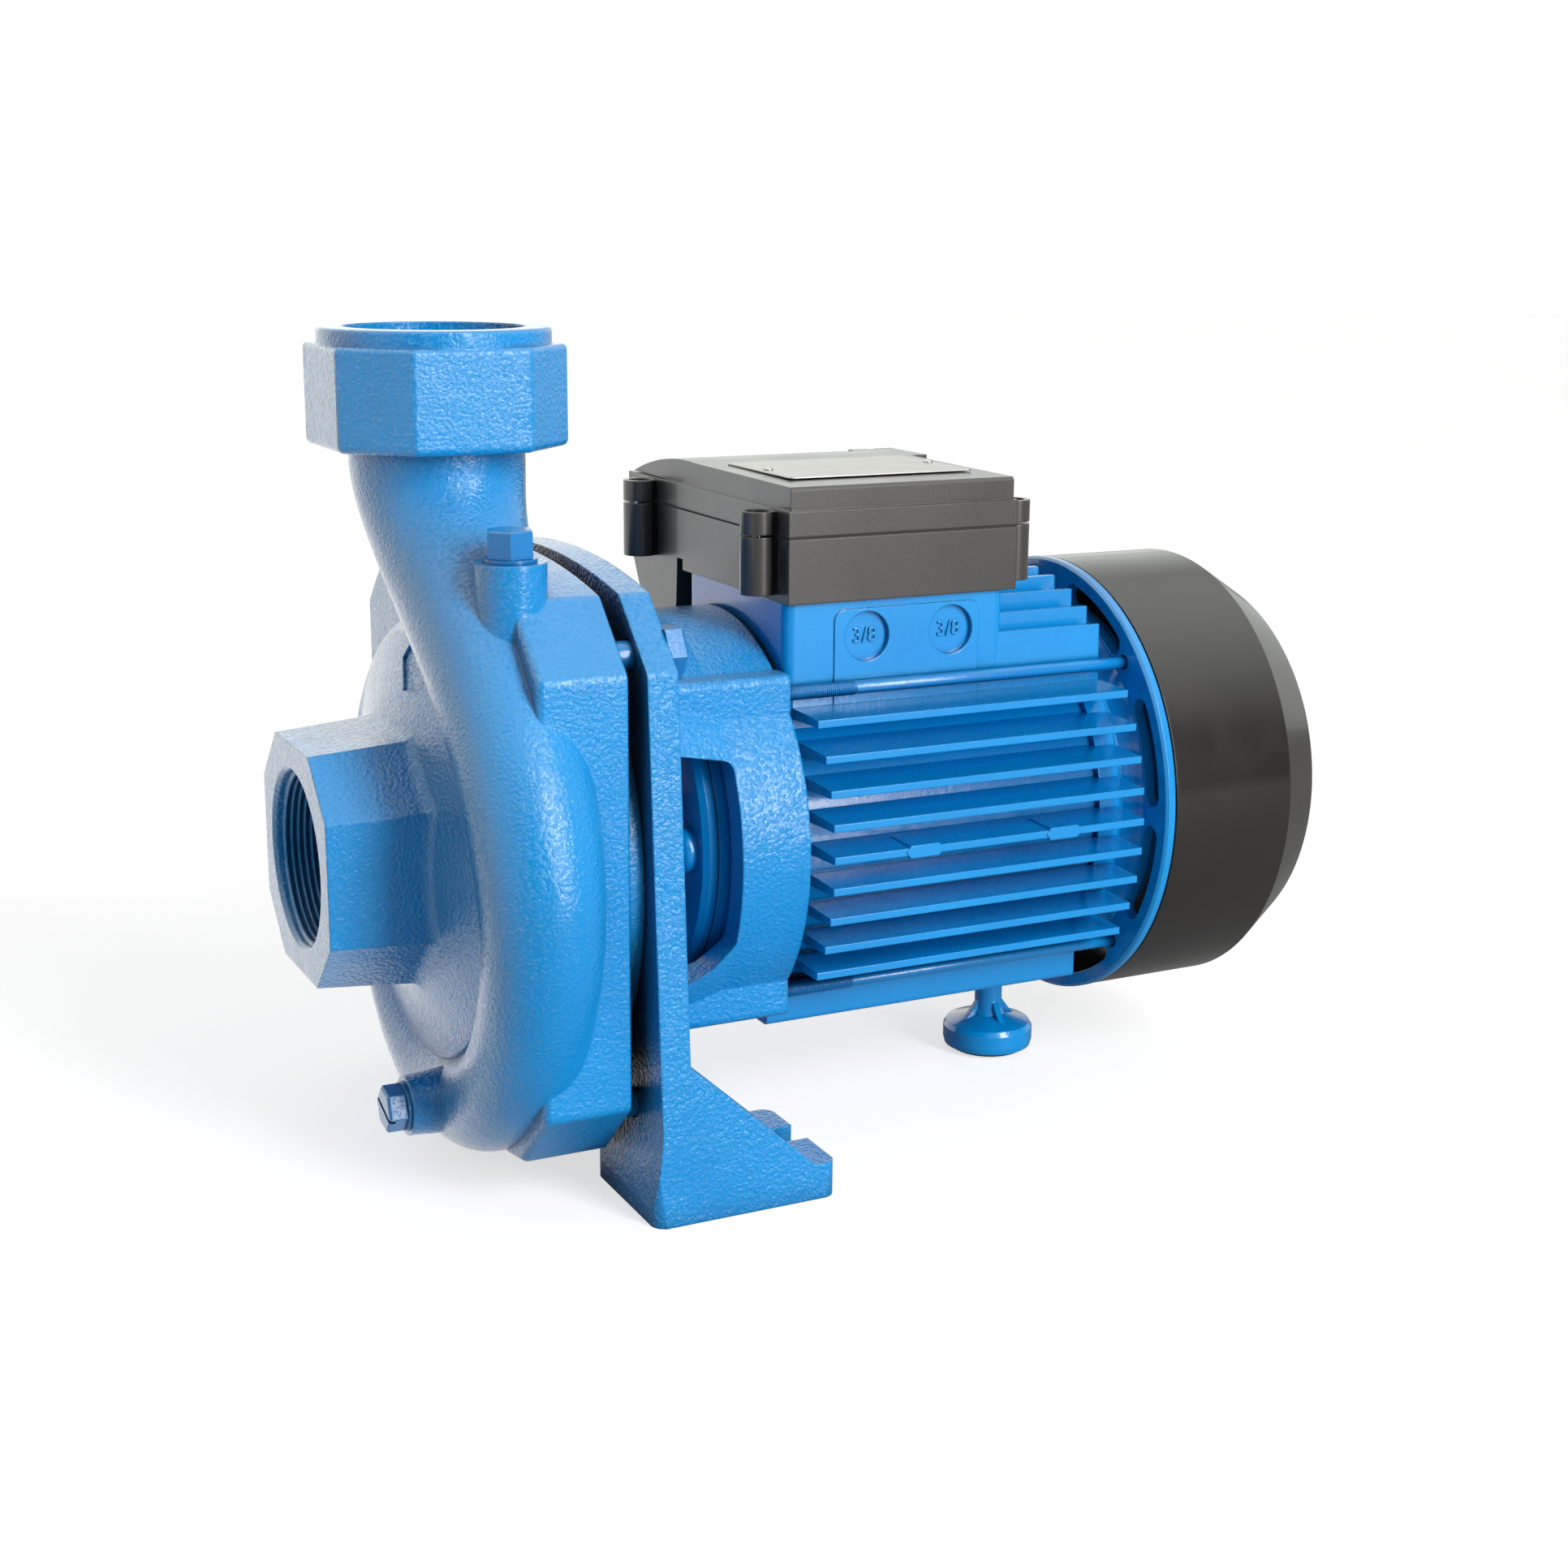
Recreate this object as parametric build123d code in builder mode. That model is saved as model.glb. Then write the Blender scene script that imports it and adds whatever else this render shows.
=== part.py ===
from build123d import *
from math import cos, radians, sin, sqrt
import os

# Close-coupled centrifugal water pump with a single-phase motor, in millimetres.
# +X runs along the shaft from the suction port to the fan, +Z is up.
# The origin lies on the ground plane, midway between the two foot bolts.
# A "distance" is measured along the shaft from the face of the suction port.

os.makedirs("parts", exist_ok=True)

# ---------- main dimensions ----------
SUCTION_TO_FEET = 131.0        # suction face to the line through the foot bolts
SHAFT_HEIGHT = 110.0           # shaft above the ground
THREAD_R = 29.85               # wall of the two inch pipe threads
THREAD_MOUTH_R = 31.1
PASSAGE_R = 25.0               # water passage behind the suction thread
DISCHARGE = 53.7               # distance of the discharge axis
DISCHARGE_TOP = 285.5          # top of the discharge port
FIT = 0.05                     # radial clearance of running and sliding fits
GAP = 0.3                      # clearance between parts that don't touch

PLATE_FRONT = 90.5             # bracket plate
PLATE_REAR = 101.0
RING_FRONT = 131.0             # bracket's ring that carries the motor
RING_REAR = 156.4
RING_R = 75.3
BODY_REAR = 287.0              # motor housing
BODY_R = 64.5
FIN_TIP_R = 83.2
STATOR_R = 58.0
SHIELD_R = 84.7                # fan-end shield
SHIELD_FRONT = 295.6
SHIELD_REAR = 300.1
COVER_BREAK = 351.3            # fan cover: end of its straight wall
COVER_REAR = 373.7
COVER_R = 84.4
COVER_END_R = 70.6

TIE_OFFSET = 53.3              # tie rods, sideways and up from the shaft
BOLT_Y = 75.0                  # casing bolts, sideways and up from the shaft
BOLT_Z = 75.5

CROWN = 100.7                  # top of the crowned flange, up from the shaft
SHOULDER_Y = 67.0              # its upper corners, sideways and up from the shaft
SHOULDER_Z = 94.0
SIDE_Y = 90.0
SIDE_Z = 72.0

FOOT_Y = 74.0                  # foot slots, sideways
FOOT_OUT = 103.0
FOOT_IN = 50.0
FOOT_HEIGHT = 12.2
FOOT_REAR = 153.5
SLOT_R = 6.25

BOX_FRONT = 158.7              # terminal box
BOX_REAR = 248.8
BOX_NEAR = -52.0
BOX_FAR = 87.0
BOX_BOTTOM = 193.3
BOX_SPLIT = 215.5
BOX_STEP = 225.0
BOX_TOP = 233.0

SHAFT = Axis((0, 0, SHAFT_HEIGHT), (1, 0, 0))
# local x is the distance from the suction face, local y the radius
SHAFT_SECTION = Plane(origin=(-SUCTION_TO_FEET, 0, SHAFT_HEIGHT), x_dir=(1, 0, 0), z_dir=(0, -1, 0))


def at(distance):
    """X of a point the given distance behind the suction face."""
    return distance - SUCTION_TO_FEET


def across(distance, height=SHAFT_HEIGHT):
    """Plane square to the shaft; local x is +Y and local y is +Z."""
    return Plane(origin=(at(distance), 0, height), x_dir=(0, 1, 0), z_dir=(1, 0, 0))


def turn(points, mode=Mode.ADD):
    """Revolve an outline of (distance, radius) corners about the shaft, in the part being built."""
    with BuildSketch(SHAFT_SECTION) as outline:
        with BuildLine():
            Polyline(*points, close=True)
        make_face()
    revolve(outline.sketch, axis=SHAFT, mode=mode)


def ring(start, end, outer, inner=0.0, mode=Mode.ADD):
    """Plain ring or disc about the shaft."""
    turn([(start, inner), (end, inner), (end, outer), (start, outer)], mode)


def rods(start, end, radius, places, mode=Mode.ADD):
    """Round bars parallel to the shaft at (y, height above the shaft) places."""
    with BuildSketch(across(start)) as outline:
        with Locations(*places):
            Circle(radius)
    extrude(outline.sketch, amount=end - start, mode=mode)


def hexes(start, end, across_flats, places, turned=0, mode=Mode.ADD):
    """Hexagonal bars parallel to the shaft."""
    with BuildSketch(across(start)) as outline:
        with Locations(*places):
            RegularPolygon(across_flats / 2, 6, major_radius=False, rotation=turned)
    extrude(outline.sketch, amount=end - start, mode=mode)


def block(x0, x1, y0, y1, z0, z1, mode=Mode.ADD):
    """Box between two corners given as distances, sideways and height above the ground."""
    centre = (at((x0 + x1) / 2), (y0 + y1) / 2, (z0 + z1) / 2)
    with Locations(centre):
        Box(x1 - x0, y1 - y0, z1 - z0, mode=mode)


def post(distance, y, z0, z1, radius, mode=Mode.ADD):
    """Upright cylinder."""
    with Locations((at(distance), y, (z0 + z1) / 2)):
        Cylinder(radius, z1 - z0, mode=mode)


def save(piece, name):
    """Label one piece and write its STEP file."""
    piece.part.label = name
    export_step(piece.part, f"parts/{name}.step")


def octagon(half, flat):
    """Square with its corners cut off; half its width, and half the length of a side left."""
    Polygon((half, flat), (flat, half), (-flat, half), (-half, flat),
            (-half, -flat), (-flat, -half), (flat, -half), (half, -flat), align=None)


TIES = [(y, z) for y in (-TIE_OFFSET, TIE_OFFSET) for z in (-TIE_OFFSET, TIE_OFFSET)]
BOLTS = [(y, z) for y in (-BOLT_Y, BOLT_Y) for z in (-BOLT_Z, BOLT_Z)]

# ---------- volute casing ----------
BOSS_HALF = 39.5
BOSS_FLAT = 20.9
BOSS_DRAFT = 4.5
BOSS_FLARE = 4.5
WALL_FRONT = 32.5              # front wall of the casing
WALL_FLAT_R = 40.0
FLANGE_FRONT = 54.1
FLANGE_REAR = 84.3
REGISTER_REAR = 90.0
REGISTER_R = 88.0
CHAMBER_R = 74.0
EYE_R = 29.9                   # wear ring bore for the impeller's eye
EYE_FRONT = 33.5

# centre line of the scroll, at steps of 45 degrees from the top towards +Y and down:
# (distance from the shaft, outer radius of the round passage)
SCROLL = [(70, 8.0), (74, 9.5), (78, 12.0), (83, 14.5), (88, 17.0), (91, 18.5), (92, 20.0)]
# centre line of the discharge neck, from the scroll up to the port:
# (y, height above the ground, outer radius, lean towards -Y in degrees)
NECK = [(-84, 138, 21.0, 22),
        (-66, 165, 21.5, 40),
        (-40, 190, 22.8, 44),
        (-16, 212, 25.2, 36),
        (-2, 232, 28.4, 14),
        (0, 252, 28.4, 0)]


def passage(wall):
    """Round sections of the scroll and neck, the wall's thickness inside the outer surface."""
    sections = []
    for step, (reach, radius) in enumerate(SCROLL):
        angle = radians(45 * step)
        centre = (at(DISCHARGE), reach * sin(angle), SHAFT_HEIGHT + reach * cos(angle))
        along = (0, cos(angle), -sin(angle))
        with BuildSketch(Plane(origin=centre, x_dir=(1, 0, 0), z_dir=along)) as section:
            Circle(radius - wall)
        sections.append(section.sketch)
    for y, height, radius, lean in NECK:
        along = (0, sin(radians(lean)), cos(radians(lean)))
        with BuildSketch(Plane(origin=(at(DISCHARGE), y, height), x_dir=(1, 0, 0), z_dir=along)) as section:
            Circle(radius - wall)
        sections.append(section.sketch)
    return sections


PORT_HALF = 39.1
PORT_FLAT = 19.5
PORT_BOTTOM = 246.6
PORT_SHOULDER = 280.1
RIM_R = 38.5
PRIME_X = 57.0
PRIME_Y = -60.0
PRIME_TOP = 215.5
PRIME_BOTTOM = 189.0
PRIME_R = 11.6
PLUG_R = 6.6                   # G1/4 plugs
DRAIN_Y = -26.0
DRAIN_Z = 26.0 - SHAFT_HEIGHT
DRAIN_R = 10.2
DRAIN_DRAFT = 5.0
DRAIN_FACE = 27.2

# square flange with a crowned top and bottom
with BuildPart() as flange:
    with BuildSketch(across(FLANGE_FRONT)) as outline:
        with BuildLine():
            ThreePointArc((SHOULDER_Y, SHOULDER_Z), (0, CROWN), (-SHOULDER_Y, SHOULDER_Z))
            Line((-SHOULDER_Y, SHOULDER_Z), (-SIDE_Y, SIDE_Z))
            Line((-SIDE_Y, SIDE_Z), (-SIDE_Y, -SIDE_Z))
            Line((-SIDE_Y, -SIDE_Z), (-SHOULDER_Y, -SHOULDER_Z))
            ThreePointArc((-SHOULDER_Y, -SHOULDER_Z), (0, -CROWN), (SHOULDER_Y, -SHOULDER_Z))
            Line((SHOULDER_Y, -SHOULDER_Z), (SIDE_Y, -SIDE_Z))
            Line((SIDE_Y, -SIDE_Z), (SIDE_Y, SIDE_Z))
            Line((SIDE_Y, SIDE_Z), (SHOULDER_Y, SHOULDER_Z))
        make_face()
        fillet(outline.vertices(), 4)
    extrude(outline.sketch, amount=FLANGE_REAR - FLANGE_FRONT)
    fillet(flange.faces().sort_by(Axis.X)[0].edges(), 2.5)
    chamfer(flange.faces().sort_by(Axis.X)[-1].edges(), 0.6)

# octagonal discharge port
with BuildPart() as port:
    with BuildSketch(Plane.XY.offset(PORT_BOTTOM)) as outline:
        with Locations((at(DISCHARGE), 0)):
            octagon(PORT_HALF, PORT_FLAT)
    extrude(outline.sketch, amount=PORT_SHOULDER - PORT_BOTTOM)
    fillet(port.edges().filter_by(Axis.Z), 2)
    fillet(port.faces().sort_by(Axis.Z)[0].edges(), 2.5)
    fillet(port.faces().sort_by(Axis.Z)[-1].edges(), 1.8)

with BuildPart() as volute_casing:
    # round casing, its front wall sloping back from the suction boss
    turn([(WALL_FRONT, 0), (WALL_FRONT, WALL_FLAT_R), (43, 74), (48, 79), (FLANGE_FRONT + 2, 81),
          (FLANGE_REAR, 81), (FLANGE_REAR, 0)])
    # suction boss, flaring where it meets the wall
    with BuildSketch(across(0)) as boss:
        octagon(BOSS_HALF, BOSS_FLAT)
    extrude(boss.sketch, amount=WALL_FRONT + 8, taper=-BOSS_DRAFT)
    around_boss = volute_casing.edges().filter_by_position(Axis.X, at(WALL_FRONT - 1), at(WALL_FRONT + 4))
    fillet(around_boss, BOSS_FLARE)
    loft(passage(0))
    add(flange.part)
    ring(FLANGE_REAR, REGISTER_REAR, REGISTER_R)
    add(port.part)
    post(DISCHARGE, 0, PORT_SHOULDER - 2, DISCHARGE_TOP, RIM_R)
    fillet(volute_casing.faces().sort_by(Axis.Z)[-1].edges(), 1.2)
    # bosses for the priming and drain plugs
    post(PRIME_X, PRIME_Y, PRIME_BOTTOM, PRIME_TOP, PRIME_R)
    with Locations((at(PRIME_X), PRIME_Y, PRIME_BOTTOM)):
        Sphere(PRIME_R)
    with BuildSketch(across(DRAIN_FACE)) as drain_boss:
        with Locations((DRAIN_Y, DRAIN_Z)):
            Circle(DRAIN_R)
    extrude(drain_boss.sketch, amount=24, taper=-DRAIN_DRAFT)
    # water passages
    loft(passage(5), mode=Mode.SUBTRACT)
    turn([(WALL_FRONT + 6, 0), (WALL_FRONT + 6, 42), (48, 70), (54, CHAMBER_R),
          (REGISTER_REAR, CHAMBER_R), (REGISTER_REAR, 0)], mode=Mode.SUBTRACT)
    ring(-1, WALL_FRONT + 7, PASSAGE_R, mode=Mode.SUBTRACT)
    ring(EYE_FRONT, WALL_FRONT + 7, EYE_R, mode=Mode.SUBTRACT)
    ring(-1, 22, THREAD_R, mode=Mode.SUBTRACT)
    turn([(-0.01, 0), (-0.01, THREAD_MOUTH_R), (1.3, THREAD_R), (1.3, 0)], mode=Mode.SUBTRACT)
    post(DISCHARGE, 0, 240, 262, 23.4, mode=Mode.SUBTRACT)
    post(DISCHARGE, 0, 261, DISCHARGE_TOP + 1, THREAD_R, mode=Mode.SUBTRACT)
    # plug and bolt holes
    post(PRIME_X, PRIME_Y, 186, PRIME_TOP + 1, PLUG_R, mode=Mode.SUBTRACT)
    rods(DRAIN_FACE - 1, WALL_FRONT + 10, PLUG_R, [(DRAIN_Y, DRAIN_Z)], mode=Mode.SUBTRACT)
    rods(62, REGISTER_REAR, 5.0, BOLTS, mode=Mode.SUBTRACT)
save(volute_casing, "volute_casing")

with BuildPart() as casing_gasket:
    ring(REGISTER_REAR, PLATE_FRONT, REGISTER_R - 0.5, 77)
save(casing_gasket, "casing_gasket")

# ---------- priming and drain plugs ----------
PLUG_FLATS = 14.0
WASHER = 1.2

with BuildPart() as priming_washer:
    post(PRIME_X, PRIME_Y, PRIME_TOP, PRIME_TOP + WASHER, 8.6)
    post(PRIME_X, PRIME_Y, PRIME_TOP, PRIME_TOP + WASHER, PLUG_R, mode=Mode.SUBTRACT)
save(priming_washer, "priming_washer")

with BuildPart() as priming_plug:
    with BuildSketch(Plane.XY.offset(PRIME_TOP + WASHER)) as head:
        with Locations((at(PRIME_X), PRIME_Y)):
            RegularPolygon(PLUG_FLATS / 2, 6, major_radius=False, rotation=12)
    extrude(head.sketch, amount=9)
    chamfer(priming_plug.faces().sort_by(Axis.Z)[-1].edges(), 0.6)
    post(PRIME_X, PRIME_Y, PRIME_TOP - 12, PRIME_TOP + WASHER, PLUG_R - FIT)
save(priming_plug, "priming_plug")

with BuildPart() as drain_washer:
    rods(DRAIN_FACE - WASHER, DRAIN_FACE, 8.6, [(DRAIN_Y, DRAIN_Z)])
    rods(DRAIN_FACE - WASHER, DRAIN_FACE, PLUG_R, [(DRAIN_Y, DRAIN_Z)], mode=Mode.SUBTRACT)
save(drain_washer, "drain_washer")

with BuildPart() as drain_plug:
    hexes(DRAIN_FACE - WASHER - 6.5, DRAIN_FACE - WASHER, PLUG_FLATS, [(DRAIN_Y, DRAIN_Z)], 10)
    chamfer(drain_plug.faces().sort_by(Axis.X)[0].edges(), 0.8)
    rods(DRAIN_FACE - WASHER, DRAIN_FACE + 10, PLUG_R - FIT, [(DRAIN_Y, DRAIN_Z)])
    with BuildSketch(across(DRAIN_FACE - WASHER - 7)) as slot:
        with Locations((DRAIN_Y, DRAIN_Z)):
            Rectangle(20, 1.6, rotation=20)
    extrude(slot.sketch, amount=2.6, mode=Mode.SUBTRACT)
save(drain_plug, "drain_plug")

# ---------- motor bracket ----------
SPIGOT_FRONT = 66.0
SPIGOT_R = CHAMBER_R - GAP
HUB_R = 25.0
HUB_REAR = 112.0
SEAL_POCKET_R = 15.0
LANTERN_IN = 66.0
LANTERN_OUT = 80.0
WINDOW_UP = 35.0               # lantern windows, up and down from the shaft at their rear edge
WINDOW_DOWN = 28.0
WEDGE_TOP = 53.0
WEDGE_TOE = 145.6
LUG_Y = 52.0                   # tie rod lugs, sideways and up from the shaft
LUG_Z = 53.2
LUG_WIDTH = 13.0
LUG_HEIGHT = 15.4
FOOT_FRONT = 87.0
PLATE_Y = 90.2                 # half the plate's width, level with the casing's sides
PLATE_LOW = 96.0               # its lower edge between the feet, down from the shaft
WIDE = 110.0                   # sideways past everything

# feet with their gussets, cut to the flared outline of the plate
with BuildPart() as feet:
    with BuildSketch(Plane.XZ) as wedge:
        with BuildLine():
            Polyline((at(FOOT_FRONT), 0), (at(FOOT_REAR), 0), (at(FOOT_REAR), FOOT_HEIGHT),
                     (at(WEDGE_TOE), FOOT_HEIGHT), (at(PLATE_REAR), WEDGE_TOP), (at(PLATE_FRONT), WEDGE_TOP),
                     (at(PLATE_FRONT), 30), (at(FOOT_FRONT), 6), close=True)
        make_face()
    extrude(wedge.sketch, amount=FOOT_OUT + 2, both=True)
    with BuildSketch(across(FOOT_FRONT, 0)) as flare:
        Polygon((-FOOT_OUT, 0), (FOOT_OUT, 0), (PLATE_Y, SHAFT_HEIGHT + SIDE_Z),
                (-PLATE_Y, SHAFT_HEIGHT + SIDE_Z), align=None)
    extrude(flare.sketch, amount=FOOT_REAR - FOOT_FRONT, mode=Mode.INTERSECT)
    with BuildSketch(Plane.XY) as plan:
        with Locations((at((FOOT_FRONT + FOOT_REAR) / 2), (FOOT_IN + FOOT_OUT) / 2),
                       (at((FOOT_FRONT + FOOT_REAR) / 2), -(FOOT_IN + FOOT_OUT) / 2)):
            RectangleRounded(FOOT_REAR - FOOT_FRONT, FOOT_OUT - FOOT_IN, 5)
    extrude(plan.sketch, amount=60, mode=Mode.INTERSECT)
    for side in (-FOOT_Y, FOOT_Y):
        post(SUCTION_TO_FEET, side, -1, 60, SLOT_R, mode=Mode.SUBTRACT)
        block(SUCTION_TO_FEET, 160, side - SLOT_R, side + SLOT_R, -1, 60, mode=Mode.SUBTRACT)
        post(SUCTION_TO_FEET, side, FOOT_HEIGHT, 60, 10.5, mode=Mode.SUBTRACT)

with BuildPart() as motor_bracket:
    with BuildSketch(across(PLATE_FRONT)) as plate:
        with BuildLine():
            ThreePointArc((SHOULDER_Y, SHOULDER_Z), (0, CROWN), (-SHOULDER_Y, SHOULDER_Z))
            Polyline((-SHOULDER_Y, SHOULDER_Z), (-PLATE_Y, SIDE_Z), (-FOOT_OUT, -SHAFT_HEIGHT),
                     (-FOOT_IN, -SHAFT_HEIGHT), (-FOOT_IN, -PLATE_LOW), (FOOT_IN, -PLATE_LOW),
                     (FOOT_IN, -SHAFT_HEIGHT), (FOOT_OUT, -SHAFT_HEIGHT), (PLATE_Y, SIDE_Z),
                     (SHOULDER_Y, SHOULDER_Z))
        make_face()
        fillet(plate.vertices().sort_by(Axis.Y)[-4:], 4)
    extrude(plate.sketch, amount=PLATE_REAR - PLATE_FRONT)
    add(feet.part)
    # lantern and the ring that carries the motor
    turn([(PLATE_REAR - 1, 60), (PLATE_REAR - 1, LANTERN_OUT + 6), (PLATE_REAR + 4, LANTERN_OUT),
          (RING_FRONT, RING_R), (RING_REAR, RING_R), (RING_REAR, 60)])
    with BuildSketch(across(PLATE_REAR - 1)) as lugs:
        with Locations(*[(y * LUG_Y, z * LUG_Z) for y in (-1, 1) for z in (-1, 1)]):
            RectangleRounded(LUG_WIDTH, LUG_HEIGHT, 3)
    extrude(lugs.sketch, amount=RING_REAR - PLATE_REAR + 1)
    ring(PLATE_REAR, RING_REAR + 1, LANTERN_IN, mode=Mode.SUBTRACT)
    # windows on both sides, reaching further down beside the plate
    with BuildSketch(Plane.XZ) as window:
        with BuildLine():
            Polyline((at(PLATE_REAR), SHAFT_HEIGHT + 41),
                     (at(RING_FRONT), SHAFT_HEIGHT + WINDOW_UP),
                     (at(RING_FRONT), SHAFT_HEIGHT - WINDOW_DOWN),
                     (at(RING_FRONT - 8), SHAFT_HEIGHT - WINDOW_DOWN - 9),
                     (at(PLATE_REAR), SHAFT_HEIGHT - 48), close=True)
        make_face()
        fillet(window.vertices().group_by(Axis.X)[-1], 4)
    extrude(window.sketch, amount=WIDE, both=True, mode=Mode.SUBTRACT)
    # seal plate that closes the casing, with the seal housing in its middle
    ring(SPIGOT_FRONT, PLATE_REAR, SPIGOT_R)
    ring(SPIGOT_FRONT + 6, PLATE_REAR + 1, 60, mode=Mode.SUBTRACT)
    ring(SPIGOT_FRONT, HUB_REAR, HUB_R)
    ring(SPIGOT_FRONT - 1, 80, 19, mode=Mode.SUBTRACT)
    ring(79, 87, SEAL_POCKET_R, mode=Mode.SUBTRACT)
    ring(86, HUB_REAR + 1, 9.5, mode=Mode.SUBTRACT)
    # holes for the casing bolts and tie rods
    rods(PLATE_FRONT - 1, PLATE_REAR + 7, 5.4, BOLTS, mode=Mode.SUBTRACT)
    rods(PLATE_REAR, FOOT_REAR, 12.0, [(y, z) for y, z in BOLTS if z < 0], mode=Mode.SUBTRACT)
    rods(136, RING_REAR + 1, 2.5, TIES, mode=Mode.SUBTRACT)
save(motor_bracket, "motor_bracket")

with BuildPart() as casing_bolts:
    rods(66, PLATE_REAR, 4.9, BOLTS)
    hexes(PLATE_REAR, PLATE_REAR + 6.6, 16.6, BOLTS)
    chamfer(casing_bolts.edges().group_by(Axis.X)[-1], 0.8)
save(casing_bolts, "casing_bolts")

# ---------- shaft, impeller and seal ----------
SHAFT_STEPS = [(41.5, 0), (41.5, 3.9), (47.5, 3.9), (47.5, 7.0), (64, 7.0), (64, 8.0), (122, 8.0), (122, 8.5),
               (154, 8.5), (154, 11.0), (281, 11.0), (281, 8.5), (303, 8.5), (303, 7.0), (331, 7.0), (331, 0)]
KEY_FRONT = 49.0
KEY_REAR = 61.0
FAN_FRONT = 304.0
FAN_HUB_REAR = 324.0
FAN_CLIP = 324.3

with BuildPart() as shaft:
    turn(SHAFT_STEPS)
    block(KEY_FRONT, KEY_REAR, -2.0, 2.0, SHAFT_HEIGHT + 4.5, SHAFT_HEIGHT + 9, mode=Mode.SUBTRACT)
    ring(FAN_CLIP, FAN_CLIP + 1.0, 8, 6.4, mode=Mode.SUBTRACT)
save(shaft, "shaft")

IMPELLER_R = 69.0
BLADES = 6

with BuildPart() as impeller:
    # front shroud with the eye ring, back shroud with the hub
    turn([(34.0, 25.5), (34.0, EYE_R - 0.35), (42.5, EYE_R - 0.35), (49.0, IMPELLER_R), (51.5, IMPELLER_R),
          (45.5, 30.0), (44.5, 25.5)])
    turn([(47.5, 7.0), (47.5, 13.0), (56.0, 20.0), (58.0, IMPELLER_R), (61.0, IMPELLER_R), (61.0, 13.0),
          (64.0, 13.0), (64.0, 7.0)])
    # backward-curved blades between the shrouds
    with BuildSketch(across(50.2)) as blades:
        with PolarLocations(0, BLADES):
            with BuildLine():
                ThreePointArc((27, 0), (44, 25), (43, 53.5))
                ThreePointArc((43, 53.5), (47.2, 25), (30, -1))
                Line((30, -1), (27, 0))
            make_face()
    extrude(blades.sketch, amount=8)
    with BuildSketch(across(KEY_FRONT - 2)) as keyway:
        with Locations((0, 7)):
            Rectangle(4.0, 4.4)
    extrude(keyway.sketch, amount=20, mode=Mode.SUBTRACT)
save(impeller, "impeller")

with BuildPart() as impeller_key:
    block(KEY_FRONT, KEY_REAR, -2.0, 2.0, SHAFT_HEIGHT + 4.5, SHAFT_HEIGHT + 9.2)
save(impeller_key, "impeller_key")

with BuildPart() as impeller_washer:
    ring(46.3, 47.5, 9.5, 4.0)
save(impeller_washer, "impeller_washer")

with BuildPart() as impeller_nut:
    hexes(40.8, 46.3, 13, [(0, 0)])
    ring(40, 47, 3.9, mode=Mode.SUBTRACT)
save(impeller_nut, "impeller_nut")

with BuildPart() as seal_seat_cup:
    turn([(80, 12.4), (80, SEAL_POCKET_R), (87, SEAL_POCKET_R), (87, 9.6), (86, 9.6), (86, 12.4)])
save(seal_seat_cup, "seal_seat_cup")

with BuildPart() as seal_seat:
    ring(79.6, 86, 12.4, 9.0)
save(seal_seat, "seal_seat")

with BuildPart() as seal_face:
    turn([(74.5, 8.6), (74.5, 13.5), (77, 13.5), (77, 11.4), (79.55, 11.4), (79.55, 8.6)])
save(seal_face, "seal_face")

with BuildPart() as seal_bellows:
    turn([(65, 8.0), (65, 10.4), (67, 10.4), (68.5, 9.4), (70, 10.8), (71.5, 9.4), (73, 10.8), (74.5, 10.8),
          (74.5, 8.0)])
save(seal_bellows, "seal_bellows")

# conical coil spring between the impeller and the seal face
with BuildPart() as seal_spring:
    with BuildLine() as coil:
        Helix(pitch=3.4, height=8.5, radius=14.2, center=(at(65.2), 0, SHAFT_HEIGHT), direction=(1, 0, 0))
    with BuildSketch(Plane(origin=coil.line @ 0, z_dir=coil.line % 0)) as wire:
        Circle(0.8)
    sweep(wire.sketch, path=coil.line, is_frenet=True)
save(seal_spring, "seal_spring")

with BuildPart() as water_slinger:
    turn([(116, 8.0), (116, 10), (118, 11), (118.6, 19), (120, 19), (120.4, 11), (121.5, 10), (121.5, 8.0)])
save(water_slinger, "water_slinger")

# ---------- bearings ----------
BEARING_R = 20.0
RACE_OUT = 17.0
RACE_IN = 12.3
BALL_R = 3.4
BALLS = 8
FRONT_BEARING = 140.0
REAR_BEARING = 283.4
BEARING_WIDTH = 12.0


def bearing(start, name):
    """Deep-groove ball bearing as an outer ring, an inner ring, balls and a cage."""
    pitch = (RACE_OUT + RACE_IN) / 2
    middle = start + BEARING_WIDTH / 2
    with BuildSketch(SHAFT_SECTION) as groove:
        with Locations((middle, pitch)):
            Circle(BALL_R + FIT)
    with BuildPart() as outer:
        ring(start, start + BEARING_WIDTH, BEARING_R, RACE_OUT)
        revolve(groove.sketch, axis=SHAFT, mode=Mode.SUBTRACT)
    save(outer, name + "_outer_ring")
    with BuildPart() as inner:
        ring(start, start + BEARING_WIDTH, RACE_IN, 8.5)
        revolve(groove.sketch, axis=SHAFT, mode=Mode.SUBTRACT)
    save(inner, name + "_inner_ring")
    with BuildPart() as balls:
        with Locations(across(middle)):
            with PolarLocations(pitch, BALLS):
                Sphere(BALL_R)
    save(balls, name + "_balls")
    with BuildPart() as cage:
        ring(middle - 4.6, middle + 4.6, pitch + 0.9, pitch - 0.9)
        with Locations(across(middle)):
            with PolarLocations(pitch, BALLS):
                Cylinder(BALL_R + FIT, 4, rotation=(0, 90, 0), mode=Mode.SUBTRACT)
    save(cage, name + "_cage")


bearing(FRONT_BEARING, "front_bearing")
bearing(REAR_BEARING, "rear_bearing")

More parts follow.
